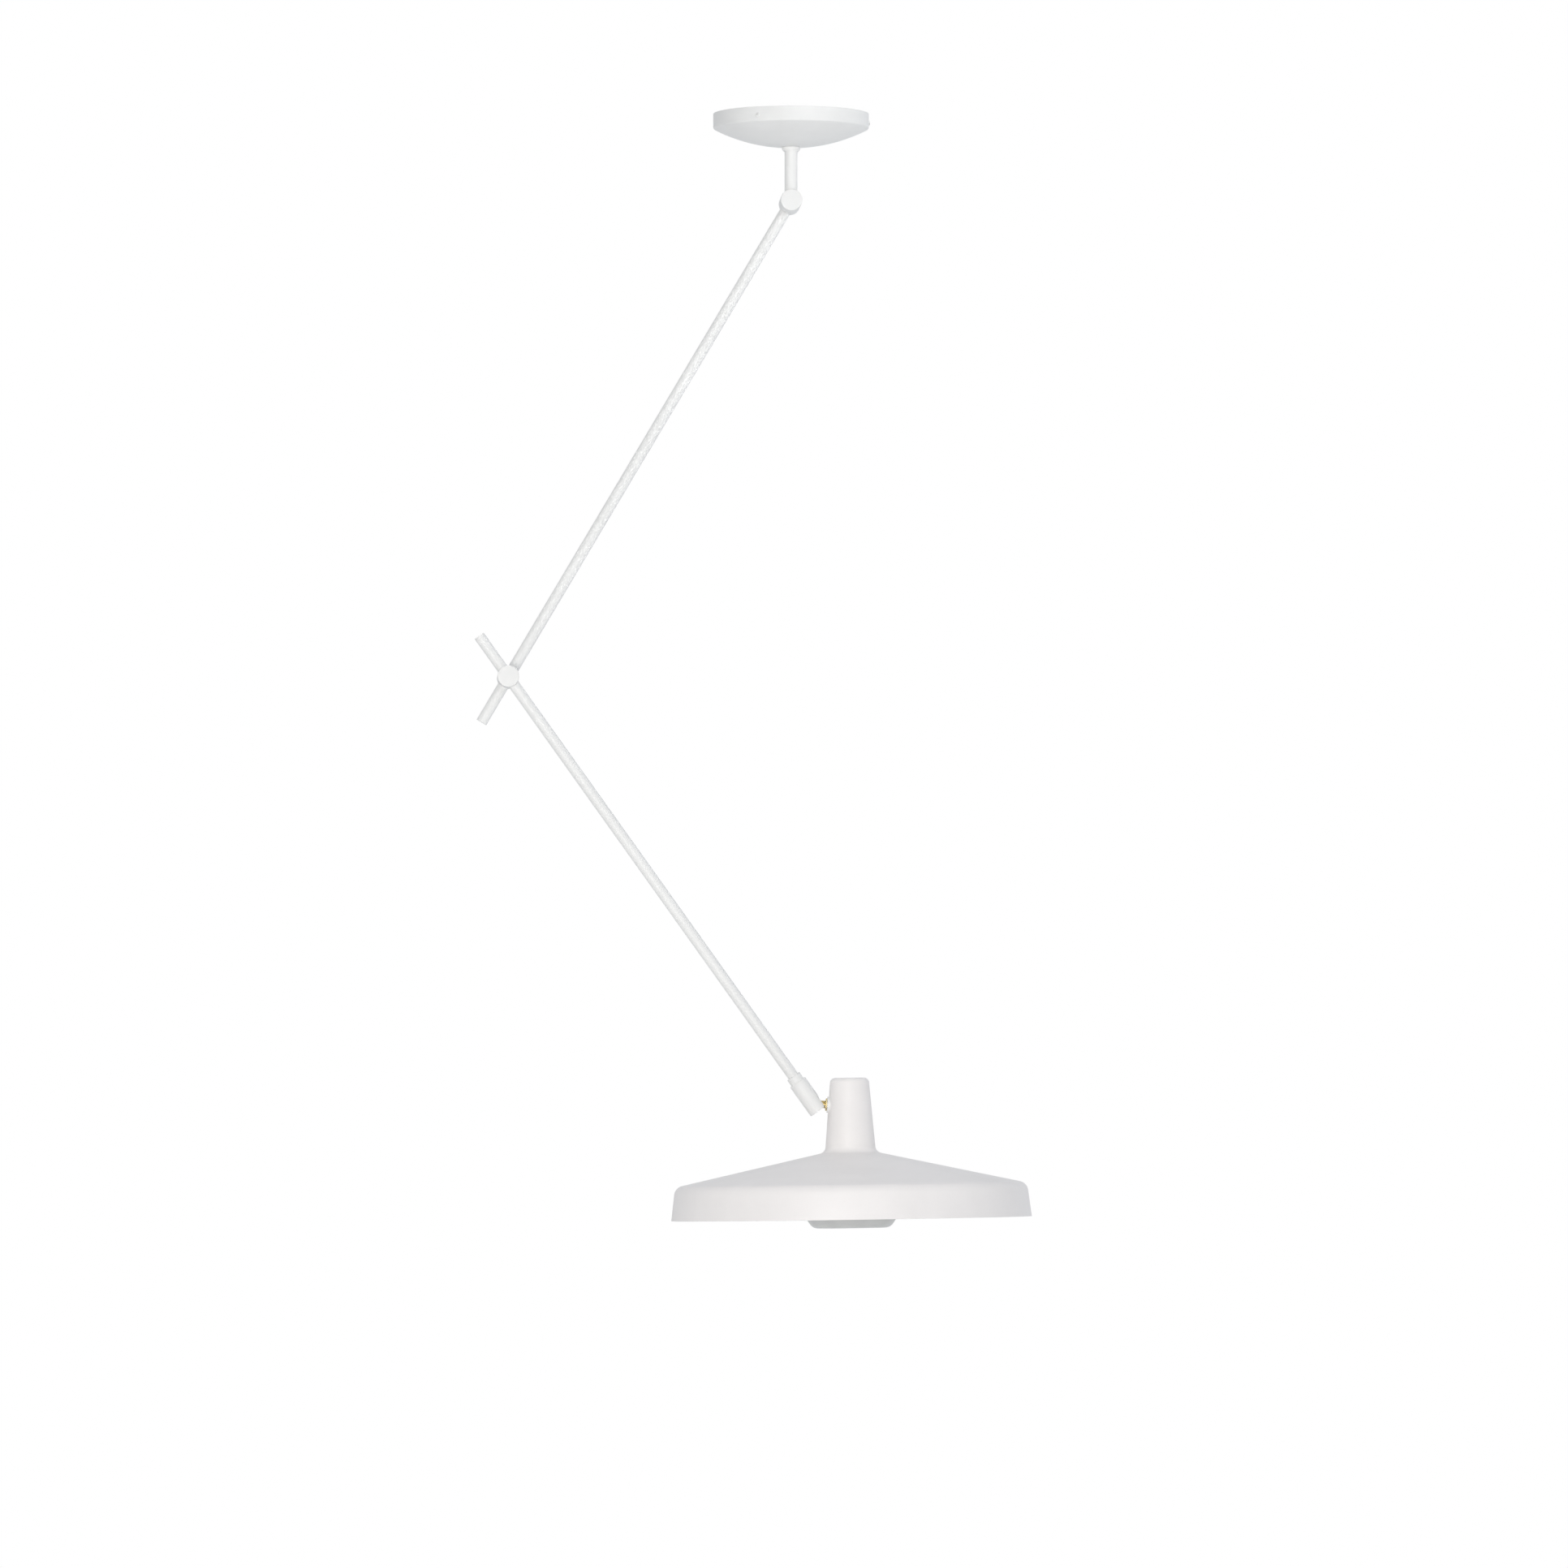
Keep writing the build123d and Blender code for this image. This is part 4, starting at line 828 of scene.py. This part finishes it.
def shade_corners(sheet):
    """Corners of the shade's outside, or of its inside when a sheet's thickness is given."""
    rim_slope = (SHADE_RADIUS - RIM_TOP_RADIUS) / RIM_HEIGHT
    cone_slope = (TOWER_FOOT_HEIGHT - RIM_HEIGHT) / (RIM_TOP_RADIUS - TOWER_FOOT_RADIUS)
    top = SHADE_HEIGHT - sheet
    foot = TOWER_FOOT_HEIGHT
    rim_top = RIM_HEIGHT

    def tower_wall(height):
        outside = TOWER_TOP_RADIUS + (SHADE_HEIGHT - height) * TOWER_TAPER
        return outside - sheet * math.hypot(1, TOWER_TAPER)

    def rim_wall(height):
        return SHADE_RADIUS - rim_slope * height - sheet * math.hypot(1, rim_slope)

    def cone(radius):
        outside = TOWER_FOOT_HEIGHT - (radius - TOWER_FOOT_RADIUS) * cone_slope
        return outside - sheet * math.hypot(1, cone_slope)

    # the walls are steep and the cone is shallow, so a few rounds find where they meet
    for _ in range(12):
        foot = cone(tower_wall(foot))
        rim_top = cone(rim_wall(rim_top))
    return [
        (0, top, 0),
        (tower_wall(top), top, TOWER_CORNER - sheet),
        (tower_wall(foot), foot, TOWER_FOOT_CORNER + sheet),
        (rim_wall(rim_top), rim_top, RIM_CORNER - sheet),
        (rim_wall(0), 0, SHADE_EDGE),
    ]


def make_shade_shell():
    """Aluminium spun in one piece from the tower's flat top to the eased edge of the rim."""
    corners = shade_corners(0) + shade_corners(SHADE_SHEET)[::-1]
    shell = moved(lathe(rounded(corners, steps=12), 256), shade_place)
    hole = STUD_RADIUS + 0.1 * MM
    near = STUD_REACH - 5 * MM
    far = STUD_REACH + 8 * MM
    drill = moved(lathe([(0, near), (hole, near), (hole, far), (0, far)], 48), stud_place)
    make_piece("shade_spun_shell", carved(shell, drill), "shade", "powder_coated_aluminium",
               "shade_shell", smooth_angle=40)


# ---- diffuser ----

def diffuser_corners(wall):
    """Corners of the dish's outside, or of its inside when the wall's thickness is given."""
    rise = math.tan(DIFFUSER_SLOPE)
    floor = wall - DIFFUSER_DROP
    side = DIFFUSER_RADIUS - wall
    slant_shift = wall / math.sin(DIFFUSER_SLOPE)

    def slant_radius(height):
        return DIFFUSER_CORNER_RADIUS - slant_shift + (height + DIFFUSER_DROP) / rise

    side_foot = (side - DIFFUSER_CORNER_RADIUS + slant_shift) * rise - DIFFUSER_DROP
    return [
        (0, floor, 0),
        (slant_radius(floor), floor, DIFFUSER_CORNER - wall),
        (side, side_foot, DIFFUSER_WALL_CORNER - wall),
        (side, DIFFUSER_TOP, DIFFUSER_EDGE),
    ]


def make_diffuser():
    """Acrylic dish, vacuum formed: a flat floor, a slanting side and a short upright wall."""
    corners = diffuser_corners(0) + diffuser_corners(DIFFUSER_WALL)[::-1]
    mesh = moved(lathe(rounded(corners, steps=10), 160), shade_place)
    make_piece("diffuser_formed_dish", mesh, "shade", "opal_acrylic", "diffuser",
               smooth_angle=50)


def make_diffuser_thumbscrews():
    """Knurled heads with a dished end, which fingers can turn."""
    slot = "zinc_plated_steel"
    end = THUMBSCREW_SEAT + THUMBSCREW_HEAD
    root = THUMBSCREW_HEAD - KNURL_DEPTH
    screw = lathe(rounded([
        (0, THUMBSCREW_INNER, 0),
        (THUMBSCREW_SHANK, THUMBSCREW_INNER, 0.4 * MM),
        (THUMBSCREW_SHANK, THUMBSCREW_SEAT, 0),
        (root, THUMBSCREW_SEAT, 0.3 * MM),
        (root, end, 0.5 * MM),
        (0.55 * root, end, 0.3 * MM),
        (0.4 * root, end - THUMBSCREW_DISH, 0.3 * MM),
        (0, end - THUMBSCREW_DISH, 0),
    ], steps=4), 48)
    knurl_length = 0.7 * THUMBSCREW_HEAD
    knurl = grown(straight_knurl, {
        "Radius": root, "Ridges": KNURL_RIDGES, "Length": knurl_length,
        "Ridge": KNURL_RIDGE, "Material": material_of_slot[slot],
    })
    knurl = moved(knurl, Matrix.Translation((0, 0, (THUMBSCREW_SEAT + end) / 2)))
    screw = on_the_side(joined(screw, knurl), THUMBSCREW_HEIGHT, THUMBSCREW_HEADING)
    mesh = three_round(screw, slot, shade_place)
    make_piece("diffuser_thumbscrews_knurled", mesh, "shade", slot, "diffuser_screws")


# ---- studio ----

FLOOR_HEIGHT = -2.6
FLOOR_HALF = 3.0


def make_floor():
    """A small pale floor far under the lamp; from below it can be seen through."""
    corners = [
        (-FLOOR_HALF, -FLOOR_HALF, FLOOR_HEIGHT), (FLOOR_HALF, -FLOOR_HALF, FLOOR_HEIGHT),
        (FLOOR_HALF, FLOOR_HALF, FLOOR_HEIGHT), (-FLOOR_HALF, FLOOR_HALF, FLOOR_HEIGHT),
    ]
    mesh = bpy.data.meshes.new("floor")
    mesh.from_pydata(corners, [], [(0, 1, 2, 3)])
    material, tree = new_material("pale_painted_floor")
    paint = add(tree, "ShaderNodeBsdfPrincipled", {
        "Base Color": linear("F2F2F2"), "Roughness": 0.8,
    })
    clear = add(tree, "ShaderNodeBsdfTransparent")
    below = add(tree, "ShaderNodeNewGeometry").outputs["Backfacing"]
    mix = add(tree, "ShaderNodeMixShader", {
        0: below, 1: paint.outputs["BSDF"], 2: clear.outputs["BSDF"],
    })
    add(tree, "ShaderNodeOutputMaterial", {"Surface": mix.outputs["Shader"]})
    mesh.materials.append(material)
    floor = bpy.data.objects.new("floor", mesh)
    bpy.context.scene.collection.objects.link(floor)


def make_softbox(name, place, target, size, power, colour, spread=180):
    """Square of light, hidden from the camera, aimed at a place; its spread is in degrees."""
    light = bpy.data.lights.new(name, "AREA")
    light.shape = "RECTANGLE"
    light.size, light.size_y = size
    light.energy = power
    light.color = linear(colour)[:3]
    light.spread = math.radians(spread)
    lamp = bpy.data.objects.new(name, light)
    lamp.location = place
    lamp.rotation_euler = (Vector(target) - Vector(place)).to_track_quat("-Z", "Y").to_euler()
    lamp.visible_camera = False
    bpy.context.scene.collection.objects.link(lamp)


def make_studio():
    """White all round to the eye; as a light it is weaker from the left and from the front."""
    world = bpy.data.worlds.new("studio")
    bpy.context.scene.world = world
    world.use_nodes = True
    tree = world.node_tree
    tree.nodes.clear()
    seen = add(tree, "ShaderNodeBackground", {"Color": linear("FFFFFF"), "Strength": 1.0})
    way = add(tree, "ShaderNodeTexCoord").outputs["Generated"]
    parts = add(tree, "ShaderNodeSeparateXYZ", {"Vector": way}).outputs
    side = add(tree, "ShaderNodeMapRange", {"Value": parts["X"], "From Min": -1.0, "From Max": 1.0})
    wall = add(tree, "ShaderNodeMix", {
        "Factor": side.outputs["Result"], "A": linear("CFD1D4"), "B": linear("F3F6FB"),
    }, data_type="RGBA")
    depth = add(tree, "ShaderNodeMapRange", {
        "Value": parts["Y"], "From Min": -1.0, "From Max": 1.0, "To Min": 0.62, "To Max": 1.08,
    })
    lit = add(tree, "ShaderNodeBackground", {
        "Color": wall.outputs["Result"], "Strength": depth.outputs["Result"],
    })
    eye = add(tree, "ShaderNodeLightPath").outputs["Is Camera Ray"]
    mix = add(tree, "ShaderNodeMixShader", {
        0: eye, 1: lit.outputs["Background"], 2: seen.outputs["Background"],
    })
    add(tree, "ShaderNodeOutputWorld", {"Surface": mix.outputs["Shader"]})
    canopy = (0.0, 0, -0.04)
    arms = (-0.17, 0, -0.7)
    make_softbox("front_key", (-1.1, -4.1, -1.1), (-0.05, 0, -1.05), (1.2, 1.2), 9, "FFFCF9", 60)
    make_softbox("canopy_key", (1.3, -3.6, 0.0), canopy, (0.8, 0.8), 0.7, "FFFFFF", 24)
    make_softbox("arms_key", (1.6, -3.6, 0.4), arms, (1.6, 1.6), 8, "FFFFFD")
    make_softbox("top_cool", (0.3, -0.8, 2.4), (0.1, 0, -1.3), (2.0, 2.0), 2, "EEF2FF")
    make_softbox("floor_bounce", (0, 0, -2.55), (0, 0, 0), (5.0, 5.0), 6, "FFFFFD")


CAMERA_PLACE = (-0.5071, -11.716, -1.3135)
CAMERA_AIM = (-0.0088, 0, -0.8401)
CAMERA_SENSOR_MM = 36.0
CAMERA_LENS_MM = 215.62


def make_camera():
    """Long lens from far in front, a little to the left and below the lamp's middle."""
    camera = bpy.data.cameras.new("camera")
    camera.sensor_width = CAMERA_SENSOR_MM
    camera.lens = CAMERA_LENS_MM
    camera.clip_end = 60.0
    eye = bpy.data.objects.new("camera", camera)
    eye.location = CAMERA_PLACE
    eye.rotation_euler = (Vector(CAMERA_AIM) - eye.location).to_track_quat("-Z", "Y").to_euler()
    bpy.context.scene.collection.objects.link(eye)
    bpy.context.scene.camera = eye
    bpy.context.scene.view_settings.view_transform = "Standard"


dress_cad_nodes()
make_canopy_cover()
make_canopy_side_screws()
make_nipples()
make_hinge_caps()
make_ball_stud()
make_stud_nuts()
make_shade_shell()
make_diffuser()
make_diffuser_thumbscrews()
make_floor()
make_studio()
make_camera()
